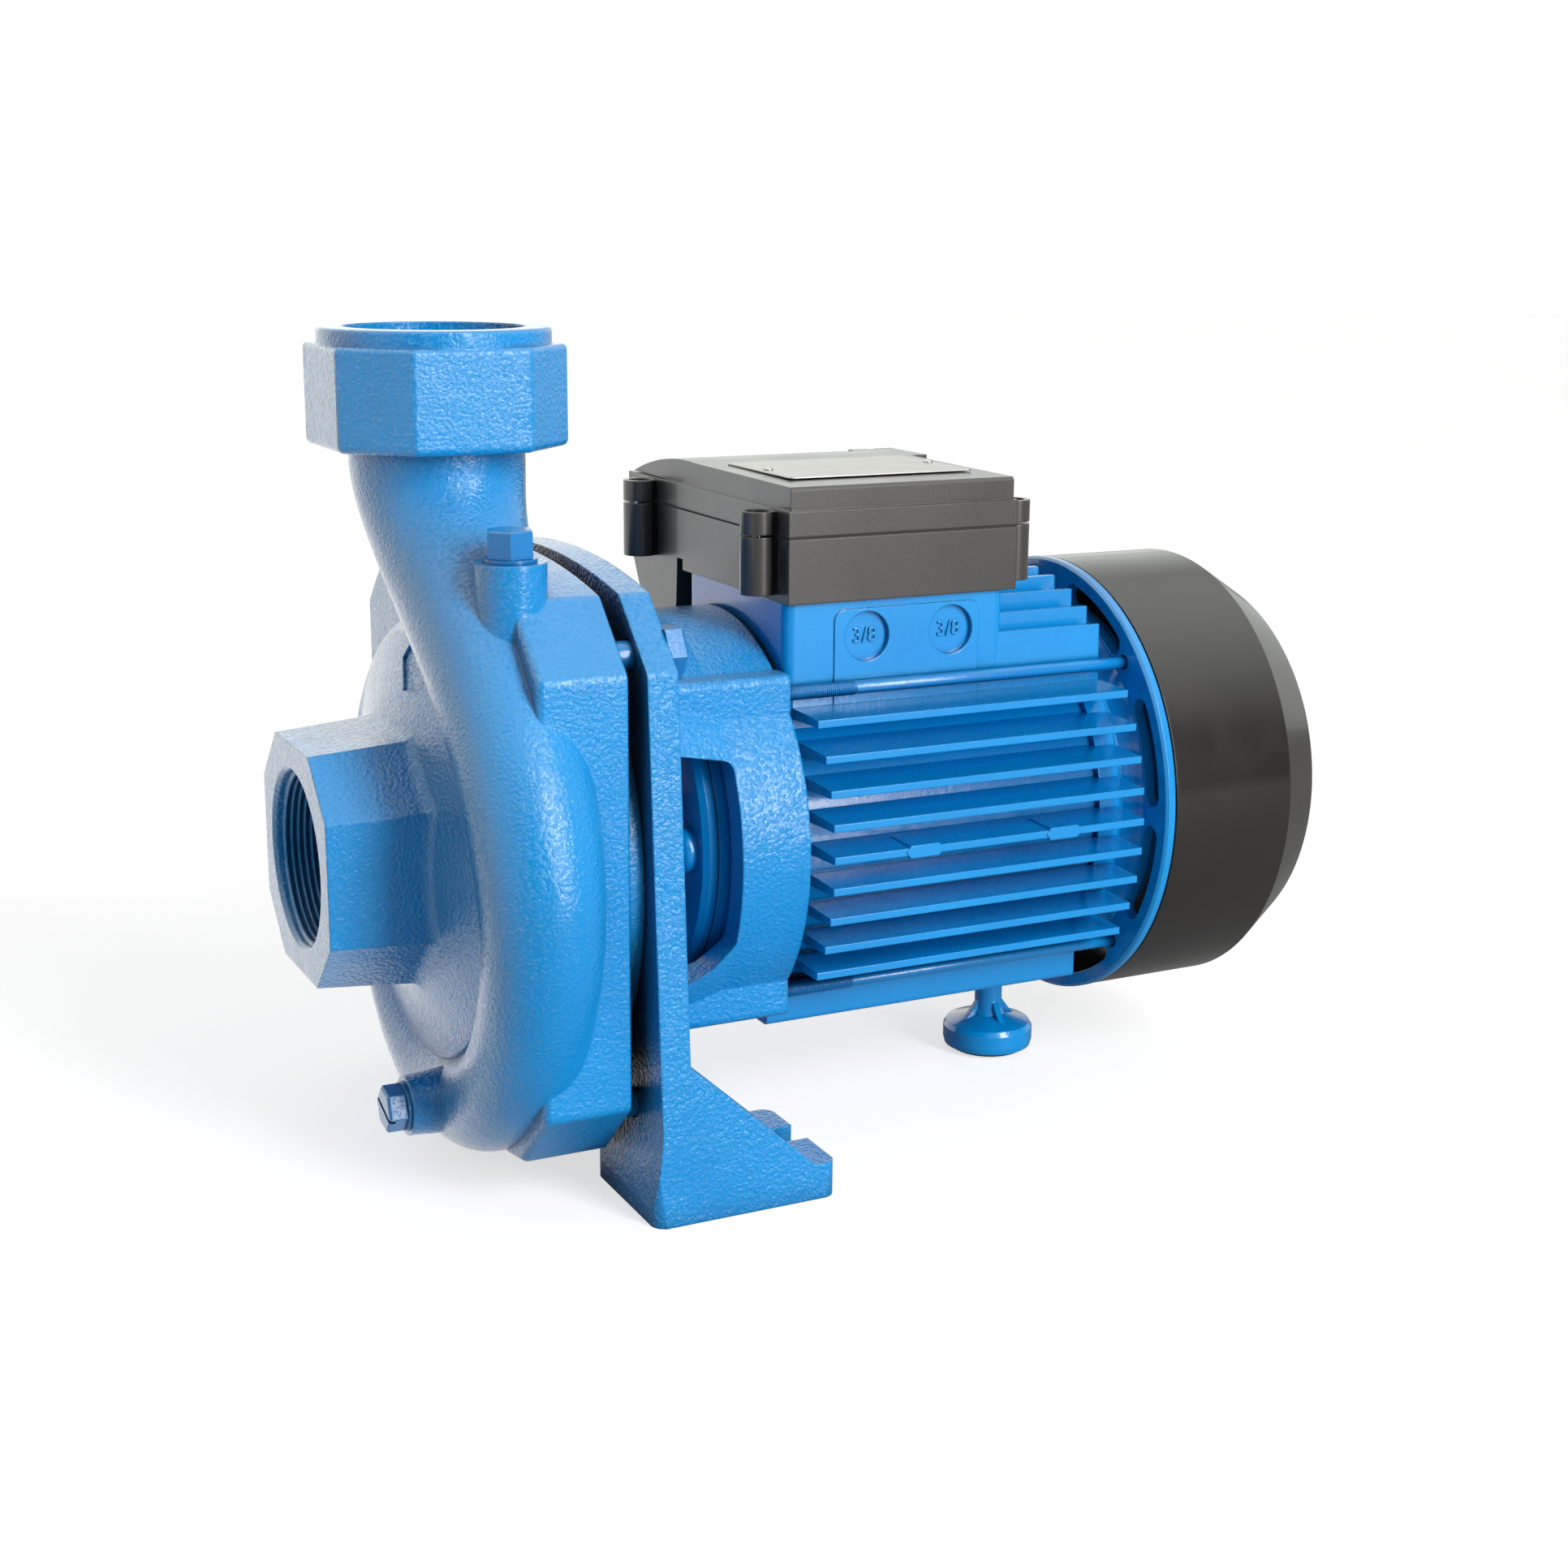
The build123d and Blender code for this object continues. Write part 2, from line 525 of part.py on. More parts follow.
with BuildPart() as wave_washer:
    ring(REAR_BEARING + BEARING_WIDTH + 0.3, REAR_BEARING + BEARING_WIDTH + 0.8, 19.4, 16.5)
save(wave_washer, "wave_washer")

# ---------- rotor and stator ----------
STACK_FRONT = 186.0
STACK_REAR = 256.0
ROTOR_R = 33.0
BORE_R = 33.4
SLOTS = 24

with BuildPart() as rotor_core:
    ring(STACK_FRONT, STACK_REAR, ROTOR_R, 11.0)
save(rotor_core, "rotor_core")

with BuildPart() as rotor_end_rings:
    for start, tip in ((STACK_FRONT - 6, STACK_FRONT - 13), (STACK_REAR, STACK_REAR + 6)):
        ring(start, start + 6, 32.2, 22.0)
        with BuildSketch(across(tip)) as vanes:
            with PolarLocations(27, 8):
                Rectangle(8, 1.8)
        extrude(vanes.sketch, amount=7)
save(rotor_end_rings, "rotor_end_rings")

with BuildPart() as stator_core:
    ring(STACK_FRONT, STACK_REAR, STATOR_R, BORE_R)
    with BuildSketch(across(STACK_FRONT)) as slots:
        with PolarLocations(43, SLOTS):
            SlotOverall(13, 5.4)
    extrude(slots.sketch, amount=STACK_REAR - STACK_FRONT, mode=Mode.SUBTRACT)
save(stator_core, "stator_core")

with BuildPart() as stator_windings:
    for start, end in ((STACK_FRONT - 14, STACK_FRONT - 1), (STACK_REAR + 1, STACK_REAR + 14)):
        turn([(start, 39), (start, 50), (start + 3, 53.5), (end - 3, 53.5), (end, 50.5), (end, 36.0),
              (start + 3, 36.0)])
    with BuildSketch(across(STACK_FRONT - 2)) as sides:
        with PolarLocations(43, SLOTS):
            SlotOverall(12.4, 4.8)
    extrude(sides.sketch, amount=STACK_REAR - STACK_FRONT + 4)
save(stator_windings, "stator_windings")

# ---------- motor shields and housing ----------
DRUM_FRONT = 124.0
DRUM_REAR = 134.0
DRUM_R = 60.0
DRUM_BOSS_R = 8.2
DRUM_BOSS_Y = 46.0

with BuildPart() as front_shield:
    # a drum that stands forward inside the lantern, with the bearing hub in its middle
    turn([(133, 10.2), (133, 24), (DRUM_FRONT + 1, 36), (DRUM_FRONT, 40), (DRUM_FRONT, DRUM_R - 2),
          (DRUM_FRONT + 2, DRUM_R), (DRUM_REAR, DRUM_R), (DRUM_REAR, LANTERN_IN - FIT),
          (RING_REAR, LANTERN_IN - FIT), (RING_REAR, STATOR_R + 2), (DRUM_REAR + 6, STATOR_R + 2),
          (DRUM_REAR + 3, DRUM_R - 5),
          (DRUM_FRONT + 5, DRUM_R - 5), (DRUM_FRONT + 5, 42), (140, 28), (152, 26), (152, BEARING_R),
          (FRONT_BEARING, BEARING_R), (FRONT_BEARING, 10.2)])
    ring(DRUM_FRONT + 4.8, DRUM_FRONT + 5.4, DRUM_R + 1, DRUM_R - 0.6, mode=Mode.SUBTRACT)
    rods(DRUM_FRONT - 5, DRUM_FRONT + 1, DRUM_BOSS_R, [(-DRUM_BOSS_Y, 0.5), (DRUM_BOSS_Y, 0.5)])
    fillet(front_shield.faces().sort_by(Axis.X)[:2].edges(), 3)
save(front_shield, "front_shield")

FIN_COUNT = 9
FIN_PITCH = 11.1
FIN_MIDDLE = 1.0
FIN_FRONT = 161.4
FIN_REAR = 286.7
FIN_TIP = 2.6
FIN_ROOT = 4.2
TOP_FINS = [6.6, 17.9, 29.6, 40.0, 48.4]
BASE_NEAR = -50.2              # cast base under the terminal box
BASE_FAR = 31.0
BASE_REAR = 245.5
RAIL_Y = 42.0
RAIL_BOTTOM = 40.0
SUPPORT = 275.1
PADS = [188.8, 245.2]           # raised pads on the middle fins
PAD_LENGTH = 14.6
COLLAR_FRONT = 278.5
COLLAR_R = 67.0
PANEL = (177.2, 234.8)         # raised panel with the knock-outs
PANEL_TOP = 190.3
PANEL_OUT = 0.5
KNOCKOUTS = (189.8, 223.3)
KNOCKOUT_HEIGHT = 180.4
KNOCKOUT_R = 8.8
KNOCKOUT_DEPTH = 2.0


def fin(y, z, tip_y, tip_z):
    """One tapered cooling fin from inside the tube wall to its tip, both points square to the shaft."""
    length = sqrt((tip_y - y) ** 2 + (tip_z - z) ** 2)
    side = ((tip_z - z) / length, -(tip_y - y) / length)
    with BuildSketch(across(FIN_FRONT)) as outline:
        Polygon((y + side[0] * FIN_ROOT / 2, z + side[1] * FIN_ROOT / 2),
                (tip_y + side[0] * FIN_TIP / 2, tip_z + side[1] * FIN_TIP / 2),
                (tip_y - side[0] * FIN_TIP / 2, tip_z - side[1] * FIN_TIP / 2),
                (y - side[0] * FIN_ROOT / 2, z - side[1] * FIN_ROOT / 2), align=None)
    extrude(outline.sketch, amount=FIN_REAR - FIN_FRONT)


with BuildPart() as motor_housing:
    ring(RING_REAR, BODY_REAR, BODY_R, STATOR_R)
    ring(COLLAR_FRONT, BODY_REAR, COLLAR_R, STATOR_R)
    # side fins
    for row in range(FIN_COUNT):
        z = FIN_MIDDLE + (FIN_COUNT // 2 - row) * FIN_PITCH
        inner = sqrt((BODY_R - 2) ** 2 - z ** 2)
        outer = sqrt(FIN_TIP_R ** 2 - z ** 2)
        for side in (-1, 1):
            fin(side * inner, z, side * outer, z)
    # top fins; the last two are left off under the capacitor bay
    for y in TOP_FINS:
        inner = sqrt((BODY_R - 2) ** 2 - y ** 2)
        outer = sqrt(FIN_TIP_R ** 2 - y ** 2)
        fin(-y, inner, -y, outer)
        if y < BASE_FAR:
            fin(y, inner, y, outer)
    # bottom rail
    with BuildSketch(across(RING_REAR, RAIL_BOTTOM + 6)) as rail:
        RectangleRounded(2 * RAIL_Y, 12, 2)
    extrude(rail.sketch, amount=FIN_REAR - RING_REAR)
    # base for the terminal box, with a panel on its near side
    with BuildSketch(Plane.XY.offset(SHAFT_HEIGHT + 40)) as base:
        with Locations((at((BOX_FRONT + BASE_REAR) / 2), (BASE_NEAR + BASE_FAR) / 2)):
            RectangleRounded(BASE_REAR - BOX_FRONT, BASE_FAR - BASE_NEAR, 4)
    extrude(base.sketch, amount=BOX_BOTTOM - SHAFT_HEIGHT - 40)
    with BuildSketch(Plane.XZ.offset(-BASE_NEAR - 1)) as panel:
        with Locations((at(sum(PANEL) / 2), PANEL_TOP - 20)):
            RectangleRounded(PANEL[1] - PANEL[0], 40, 4)
    extrude(panel.sketch, amount=PANEL_OUT + 1)
    # long hexagonal pads on the middle side fins
    with BuildSketch(Plane.XZ) as pads:
        for start in PADS:
            with Locations((at(start), SHAFT_HEIGHT + FIN_MIDDLE)):
                Polygon((0, 0), (1.8, 2.2), (PAD_LENGTH - 1.8, 2.2), (PAD_LENGTH, 0),
                        (PAD_LENGTH - 1.8, -2.2), (1.8, -2.2), align=None)
    for side in (-1, 1):
        extrude(pads.sketch.moved(Location((0, side * (FIN_TIP_R + 0.3), 0))), amount=side * 15)
    ring(RING_REAR - 1, BODY_REAR + 1, STATOR_R, mode=Mode.SUBTRACT)
    block(BOX_FRONT + 4, BASE_REAR - 4, BASE_NEAR + 4, BASE_FAR - 4, SHAFT_HEIGHT + 66, BOX_BOTTOM + 1,
          mode=Mode.SUBTRACT)
    post(176, -10, SHAFT_HEIGHT + 50, BOX_BOTTOM, 7, mode=Mode.SUBTRACT)
    # two round knock-outs for cable glands
    with BuildSketch(Plane.XZ.offset(-BASE_NEAR + PANEL_OUT)) as knockouts:
        with Locations(*[(at(distance), KNOCKOUT_HEIGHT) for distance in KNOCKOUTS]):
            Circle(KNOCKOUT_R)
    extrude(knockouts.sketch, amount=-KNOCKOUT_DEPTH, mode=Mode.SUBTRACT)
    # screw hole for the support foot
    post(SUPPORT, 0, RAIL_BOTTOM - 1, RAIL_BOTTOM + 9, 2.1, mode=Mode.SUBTRACT)
save(motor_housing, "motor_housing")

VENT_R = 75.2
VENT_ANGLES = [18, 64, 116, 162, 198, 244, 296, 342]

with BuildPart() as rear_shield:
    turn([(281, 26), (281, BEARING_R), (REAR_BEARING + BEARING_WIDTH + 1, BEARING_R),
          (REAR_BEARING + BEARING_WIDTH + 1, 10), (299, 10), (299, 26), (293, 28), (293, 60),
          (SHIELD_REAR, 67), (SHIELD_REAR + 4, 67.5), (SHIELD_REAR + 4, 69), (SHIELD_REAR, 69),
          (SHIELD_REAR, SHIELD_R - 1), (SHIELD_REAR - 1, SHIELD_R), (SHIELD_FRONT + 1, SHIELD_R),
          (SHIELD_FRONT, SHIELD_R - 1), (SHIELD_FRONT, 70), (290, BODY_R), (BODY_REAR, BODY_R),
          (BODY_REAR, STATOR_R), (284, STATOR_R - FIT), (284, 54), (288, 52), (288, 28)])
    with BuildSketch(across(SHIELD_FRONT - 1)) as vents:
        for angle in VENT_ANGLES:
            with BuildLine(mode=Mode.PRIVATE) as middle:
                CenterArc((0, 0), VENT_R, angle - 12, 24)
            SlotArc(middle.edges()[0], 8.4)
    extrude(vents.sketch, amount=12, mode=Mode.SUBTRACT)
    rods(SHIELD_FRONT - 6, SHIELD_REAR + 1, 2.7, TIES, mode=Mode.SUBTRACT)
save(rear_shield, "rear_shield")

with BuildPart() as tie_rods:
    rods(137, 306.5, 2.25, TIES)
    rods(137, 184, 2.5 - FIT, TIES)
    rods(290, 306.5, 2.5, TIES)
save(tie_rods, "tie_rods")

with BuildPart() as tie_rod_nuts:
    hexes(SHIELD_REAR, SHIELD_REAR + 4, 8, TIES)
    rods(SHIELD_REAR - 1, SHIELD_REAR + 5, 2.5, TIES, mode=Mode.SUBTRACT)
save(tie_rod_nuts, "tie_rod_nuts")

# ---------- cooling fan and its cover ----------
FAN_R = 66.0
FAN_BLADES = 8

with BuildPart() as cooling_fan:
    turn([(FAN_FRONT, 7.0), (FAN_FRONT, 12), (309, 13), (309, 58), (311.5, 60), (311.5, 13),
          (FAN_HUB_REAR, 12), (FAN_HUB_REAR, 7.0)])
    with BuildSketch(across(307)) as fan_blades:
        with PolarLocations(0, FAN_BLADES):
            with Locations((40, 0)):
                Rectangle(2 * (FAN_R - 40), 2.4)
    extrude(fan_blades.sketch, amount=26)
save(cooling_fan, "cooling_fan")

with BuildPart() as fan_circlip:
    ring(FAN_CLIP, FAN_CLIP + 1.0, 9.5, 6.4)
    block(FAN_CLIP - 1, FAN_CLIP + 2, -2.5, 2.5, SHAFT_HEIGHT, SHAFT_HEIGHT + 12, mode=Mode.SUBTRACT)
save(fan_circlip, "fan_circlip")

COVER_WALL = 2.4
COVER_FRONT = SHIELD_REAR

with BuildPart() as fan_cover:
    with BuildSketch(SHAFT_SECTION) as wall:
        with BuildLine():
            Polyline((COVER_FRONT, SHIELD_R - 2.8), (COVER_FRONT, SHIELD_R - 0.2),
                     (COVER_BREAK, COVER_R), (COVER_REAR, COVER_END_R), (COVER_REAR, 0),
                     (COVER_REAR - COVER_WALL, 0), (COVER_REAR - COVER_WALL, COVER_END_R - 1.5),
                     (COVER_BREAK - 1, COVER_R - 2.8), close=True)
        make_face()
        fillet(wall.vertices().group_by(Axis.X)[-1].sort_by(Axis.Y)[-1], 6)
    revolve(wall.sketch, axis=SHAFT)
    # air inlet: rings of curved slots in the rear wall
    with BuildSketch(across(COVER_REAR - 6)) as inlet:
        for radius in (18, 27, 36, 45, 54, 63):
            for quarter in range(6):
                with BuildLine(mode=Mode.PRIVATE) as middle:
                    CenterArc((0, 0), radius, 60 * quarter + 9, 42)
                SlotArc(middle.edges()[0], 4.6)
    extrude(inlet.sketch, amount=8, mode=Mode.SUBTRACT)
save(fan_cover, "fan_cover")

# ---------- support foot ----------
with BuildPart() as support_foot:
    with BuildSketch(Plane(origin=(at(SUPPORT), 0, 0), x_dir=(1, 0, 0), z_dir=(0, -1, 0))) as half:
        with BuildLine():
            Polyline((0, 0), (14, 0), (17, 1.8), (17.6, 4), (17.6, 9), (16.4, 11), (6.5, 14), (5.4, 16.5),
                     (5.2, RAIL_BOTTOM), (0, RAIL_BOTTOM), close=True)
        make_face()
    revolve(half.sketch, axis=Axis((at(SUPPORT), 0, 0), (0, 0, 1)))
    for turned in (0, 90, 180, 270):
        direction = (cos(radians(turned)), sin(radians(turned)), 0)
        square = (sin(radians(turned)), -cos(radians(turned)), 0)
        with BuildSketch(Plane(origin=(at(SUPPORT), 0, 0), x_dir=direction, z_dir=square)) as web:
            Polygon((4, 11), (12, 11.6), (9, 14.6), (5, 20), (4, 20), align=None)
        extrude(web.sketch, amount=1.2, both=True)
    post(SUPPORT, 0, -1, 5, 4.5, mode=Mode.SUBTRACT)
    post(SUPPORT, 0, -1, RAIL_BOTTOM + 1, 2.4, mode=Mode.SUBTRACT)
save(support_foot, "support_foot")

with BuildPart() as support_foot_screw:
    post(SUPPORT, 0, 2.2, 5, 4.0)
    post(SUPPORT, 0, 4, RAIL_BOTTOM + 8, 2.1)
save(support_foot_screw, "support_foot_screw")

# ---------- terminal box ----------
BOX_WALL = 2.5
FLOOR_FAR = 36.0               # the floor steps up here, clear of the capacitor bay
BAY_REAR = 266.0
LID_INSET = 1.2
HOLLOW_R = 20.0
SCREWS = [(154.2, -37), (154.2, 66), (252.8, -42), (252.8, 20)]


def box_section(inset, bottom):
    """Outline of the box base square to the shaft, with the capacitor bay hanging on the far side."""
    floor = bottom - SHAFT_HEIGHT
    brim = BOX_SPLIT - SHAFT_HEIGHT
    Polygon((BOX_NEAR + inset, brim), (BOX_NEAR + inset, floor), (FLOOR_FAR - inset, floor),
            (FLOOR_FAR - inset, floor + 4), (41 + inset, floor + 4), (42 + inset, 70),
            (46 + inset, 62 + inset), (66 - inset, 62 + inset), (78 - inset, 73 + inset),
            (84.5 - inset, 85), (BOX_FAR - inset, brim), align=None)


with BuildPart() as terminal_box_base:
    with BuildSketch(across(BOX_FRONT)) as section:
        box_section(0, BOX_BOTTOM)
    extrude(section.sketch, amount=BOX_REAR - BOX_FRONT)
    block(BOX_REAR - 1, BAY_REAR, 40, BOX_FAR - 1, 200, BOX_SPLIT)
    fillet(terminal_box_base.edges().filter_by(Axis.Z).sort_by(Axis.X)[-2:], 4)
    for distance, y in SCREWS:
        post(distance, y, 195.5, BOX_SPLIT, 6.2)
    # shallow hollow between the near front screw boss and the corner
    with Locations((at(BOX_FRONT + 1.3 - HOLLOW_R), BOX_NEAR + 5.0, 205)):
        Cylinder(HOLLOW_R, 5.4, rotation=(90, 0, 0), mode=Mode.SUBTRACT)
    with BuildSketch(across(BOX_FRONT + BOX_WALL)) as inside:
        box_section(BOX_WALL, BOX_BOTTOM + BOX_WALL)
    extrude(inside.sketch, amount=BOX_REAR - BOX_FRONT - 2 * BOX_WALL, mode=Mode.SUBTRACT)
    block(BOX_REAR - 3, BAY_REAR - BOX_WALL, 42.5, BOX_FAR - 3.5, 202.5, BOX_SPLIT + 1, mode=Mode.SUBTRACT)
    post(176, -10, BOX_BOTTOM - 1, BOX_BOTTOM + 4, 7, mode=Mode.SUBTRACT)
    for distance, y in SCREWS:
        post(distance, y, 199, BOX_SPLIT + 1, 1.9, mode=Mode.SUBTRACT)
save(terminal_box_base, "terminal_box_base")

GASKET = 0.8

with BuildPart() as lid_gasket:
    block(BOX_FRONT + 0.4, BOX_REAR - 0.4, BOX_NEAR + 0.4, BOX_FAR - 0.4, BOX_SPLIT, BOX_SPLIT + GASKET)
    block(BOX_FRONT + BOX_WALL, BOX_REAR - BOX_WALL, BOX_NEAR + BOX_WALL, BOX_FAR - BOX_WALL, BOX_SPLIT - 1,
          BOX_SPLIT + 2, mode=Mode.SUBTRACT)
save(lid_gasket, "lid_gasket")

LID_BOTTOM = BOX_SPLIT + GASKET
SEAT = BOX_STEP - 4            # screw heads sit in counterbores
CROWN_NEAR = BOX_NEAR + LID_INSET
CROWN_TOP = BOX_TOP - SHAFT_HEIGHT
NOTCHES = [222.0, 231.5, 241.0, 255.5]

with BuildPart() as terminal_box_lid:
    block(BOX_FRONT, BOX_REAR, BOX_NEAR, BOX_FAR, LID_BOTTOM, BOX_STEP)
    block(BOX_REAR - 1, BAY_REAR, 40, BOX_FAR - 1, LID_BOTTOM, BOX_STEP)
    fillet(terminal_box_lid.edges().filter_by(Axis.Z).sort_by(Axis.X)[-2:], 4)
    with BuildSketch(across(BOX_FRONT + LID_INSET)) as crown:
        with BuildLine():
            Polyline((84.5, 115.5), (CROWN_NEAR, 114), (CROWN_NEAR, CROWN_TOP - 1),
                     (CROWN_NEAR + 1, CROWN_TOP), (28, CROWN_TOP + 0.6))
            ThreePointArc((28, CROWN_TOP + 0.6), (60, CROWN_TOP - 1.2), (84.5, 115.5))
        make_face()
    extrude(crown.sketch, amount=BOX_REAR - BOX_FRONT - 2 * LID_INSET)
    block(BOX_REAR - 3, BAY_REAR - 1, 41, 70, BOX_STEP - 1, BOX_TOP - 1.5)
    for distance, y in SCREWS:
        post(distance, y, LID_BOTTOM, BOX_STEP - 1, 6.2)
    block(BOX_FRONT + BOX_WALL, BOX_REAR - BOX_WALL, BOX_NEAR + BOX_WALL, 45,
          LID_BOTTOM - 1, BOX_TOP - BOX_WALL, mode=Mode.SUBTRACT)
    block(BOX_FRONT + BOX_WALL, BOX_REAR - BOX_WALL, 44, 80, LID_BOTTOM - 1, BOX_STEP - 1,
          mode=Mode.SUBTRACT)
    for distance, y in SCREWS:
        post(distance, y, LID_BOTTOM - 1, BOX_STEP, 2.3, mode=Mode.SUBTRACT)
        post(distance, y, SEAT, BOX_STEP + 1, 4.2, mode=Mode.SUBTRACT)
    # shallow notches across the far edge of the arched cover
    for distance in NOTCHES:
        with Locations((at(distance), 76, BOX_TOP - 2.2)):
            Box(4, 30, 2.4, rotation=(-14, 0, 0), mode=Mode.SUBTRACT)
save(terminal_box_lid, "terminal_box_lid")

with BuildPart() as lid_screws:
    for distance, y in SCREWS:
        post(distance, y, SEAT, SEAT + 1.8, 3.6)
        post(distance, y, 203, SEAT, 1.85)
        block(distance - 4, distance + 4, y - 0.4, y + 0.4, SEAT + 1.0, SEAT + 2, mode=Mode.SUBTRACT)
save(lid_screws, "lid_screws")

# nameplate, left blank
PLATE_X = (168.9, 241.5)
PLATE_Y = (-32.5, 19.5)
RIVETS = [(172.5, -7.5), (238.3, -6.0)]

with BuildPart() as nameplate:
    block(PLATE_X[0], PLATE_X[1], PLATE_Y[0], PLATE_Y[1], BOX_TOP + 0.62, BOX_TOP + 1.1)
    fillet(nameplate.edges().filter_by(Axis.Z), 1.5)
save(nameplate, "nameplate")

with BuildPart() as nameplate_rivets:
    for distance, y in RIVETS:
        post(distance, y, BOX_TOP + 1.1, BOX_TOP + 2.1, 1.8)
    fillet(nameplate_rivets.edges().group_by(Axis.Z)[-1], 0.8)
save(nameplate_rivets, "nameplate_rivets")

# capacitor in its bay, held by a strap, and the terminal block on the floor
CAPACITOR_Y = 61.5
CAPACITOR_Z = 197.0 - SHAFT_HEIGHT
CAPACITOR_R = 15.0

with BuildPart() as capacitor:
    rods(168, 236, CAPACITOR_R, [(CAPACITOR_Y, CAPACITOR_Z)])
    rods(236, 238, CAPACITOR_R - 2, [(CAPACITOR_Y, CAPACITOR_Z)])
    rods(237, 243, 1.6, [(CAPACITOR_Y - 6, CAPACITOR_Z), (CAPACITOR_Y + 6, CAPACITOR_Z)])
save(capacitor, "capacitor")

with BuildPart() as capacitor_strap:
    rods(196, 206, CAPACITOR_R + 0.8, [(CAPACITOR_Y, CAPACITOR_Z)])
    rods(195, 207, CAPACITOR_R, [(CAPACITOR_Y, CAPACITOR_Z)], mode=Mode.SUBTRACT)
save(capacitor_strap, "capacitor_strap")

FLOOR = BOX_BOTTOM + BOX_WALL
STUDS = [-15.0, -5.0, 5.0]

with BuildPart() as terminal_block:
    block(198, 228, -20, 10, FLOOR, FLOOR + 6)
    for y in (-10.0, 0.0):
        block(200, 226, y - 0.6, y + 0.6, FLOOR + 5, FLOOR + 12)
    for y in STUDS:
        post(213, y, FLOOR + 1, FLOOR + 7, 2.0, mode=Mode.SUBTRACT)
save(terminal_block, "terminal_block")

with BuildPart() as terminal_studs:
    for y in STUDS:
        post(213, y, FLOOR + 1, FLOOR + 13, 2.0)
save(terminal_studs, "terminal_studs")

with BuildPart() as terminal_nuts:
    with BuildSketch(Plane.XY.offset(FLOOR + 6)) as nuts:
        for y in STUDS:
            with Locations((at(213), y)):
                RegularPolygon(3.5, 6, major_radius=False)
                Circle(2.0, mode=Mode.SUBTRACT)
    extrude(nuts.sketch, amount=3)
save(terminal_nuts, "terminal_nuts")
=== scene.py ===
from math import cos, pi, radians, sin

import bmesh
import bpy
from mathutils import Matrix, Vector


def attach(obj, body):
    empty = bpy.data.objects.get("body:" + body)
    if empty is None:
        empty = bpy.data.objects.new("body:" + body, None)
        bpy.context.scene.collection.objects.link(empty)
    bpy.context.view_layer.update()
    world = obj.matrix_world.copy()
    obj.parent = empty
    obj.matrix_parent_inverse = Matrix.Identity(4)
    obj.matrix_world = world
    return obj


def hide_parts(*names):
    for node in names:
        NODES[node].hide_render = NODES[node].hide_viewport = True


# Looks of a close-coupled centrifugal water pump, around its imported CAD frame. Lengths are in metres,
# and the frame's origin is on the ground under the shaft, midway between the foot slots.

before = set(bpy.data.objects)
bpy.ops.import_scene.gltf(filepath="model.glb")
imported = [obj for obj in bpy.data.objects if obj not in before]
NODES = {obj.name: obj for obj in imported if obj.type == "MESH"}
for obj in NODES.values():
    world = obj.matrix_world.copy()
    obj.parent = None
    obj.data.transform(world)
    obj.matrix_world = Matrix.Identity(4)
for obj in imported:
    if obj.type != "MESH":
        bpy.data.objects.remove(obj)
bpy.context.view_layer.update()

MM = 0.001
SHAFT_HEIGHT = 0.110
SUCTION_FACE = -0.131
PROBES = 6                        # rays that each shading point sends out to find edges and gaps


# ---------- node helpers ----------
def node(tree, kind, values=None, links=None):
    """Add a shader node; values sets its sockets by name or number, and links joins them to outputs."""
    made = tree.nodes.new(kind)
    for key, value in (values or {}).items():
        made.inputs[key].default_value = value
    for key, output in (links or {}).items():
        tree.links.new(output, made.inputs[key])
    return made


def blank(name):
    """A new material with an empty node tree, its output node and the object's own coordinates."""
    made = bpy.data.materials.new(name)
    made.use_nodes = True
    tree = made.node_tree
    tree.nodes.clear()
    output = tree.nodes.new("ShaderNodeOutputMaterial")
    place = tree.nodes.new("ShaderNodeTexCoord").outputs["Object"]
    return made, tree, output, place


def noise(tree, place, size, detail=2.0, rough=0.5):
    """Noise whose lumps are about the given size."""
    values = {"Scale": 1 / size, "Detail": detail, "Roughness": rough}
    return node(tree, "ShaderNodeTexNoise", values, {"Vector": place}).outputs["Fac"]


def between(tree, value, low, high, new_low, new_high):
    """Rescale a value from one range to another."""
    values = {"From Min": low, "From Max": high, "To Min": new_low, "To Max": new_high}
    return node(tree, "ShaderNodeMapRange", values, {"Value": value}).outputs["Result"]


def blend_colours(tree, factor, first, second):
    """Mix two colours, each a tuple or another node's output."""
    made = tree.nodes.new("ShaderNodeMix")
    made.data_type = "RGBA"
    tree.links.new(factor, made.inputs["Factor"])
    # several sockets of this node share a name: 6 and 7 take the colours, and output 2 gives the mix
    for key, colour in ((6, first), (7, second)):
        if isinstance(colour, tuple):
            made.inputs[key].default_value = (*colour, 1)
        else:
            tree.links.new(colour, made.inputs[key])
    return made.outputs[2]


def arithmetic(tree, operation, first, second):
    """Arithmetic on two values, each a number or another node's output."""
    made = tree.nodes.new("ShaderNodeMath")
    made.operation = operation
    for key, value in ((0, first), (1, second)):
        if isinstance(value, (int, float)):
            made.inputs[key].default_value = value
        else:
            tree.links.new(value, made.inputs[key])
    return made.outputs[0]


def rounded(tree, radius):
    """Normal that rounds the mesh's edges off."""
    made = node(tree, "ShaderNodeBevel", {"Radius": radius})
    made.samples = PROBES
    return made.outputs["Normal"]


def openness(tree, reach):
    """How open a place is, from 0 deep in a gap narrower than the reach to 1 on an open face."""
    made = node(tree, "ShaderNodeAmbientOcclusion", {"Distance": reach})
    made.samples = PROBES
    return made.outputs["AO"]


def bump(tree, height, depth, normal):
    """Normal of a relief of the given depth, on top of another normal."""
    links = {"Height": height, "Normal": normal}
    return node(tree, "ShaderNodeBump", {"Strength": 1.0, "Distance": depth}, links).outputs["Normal"]


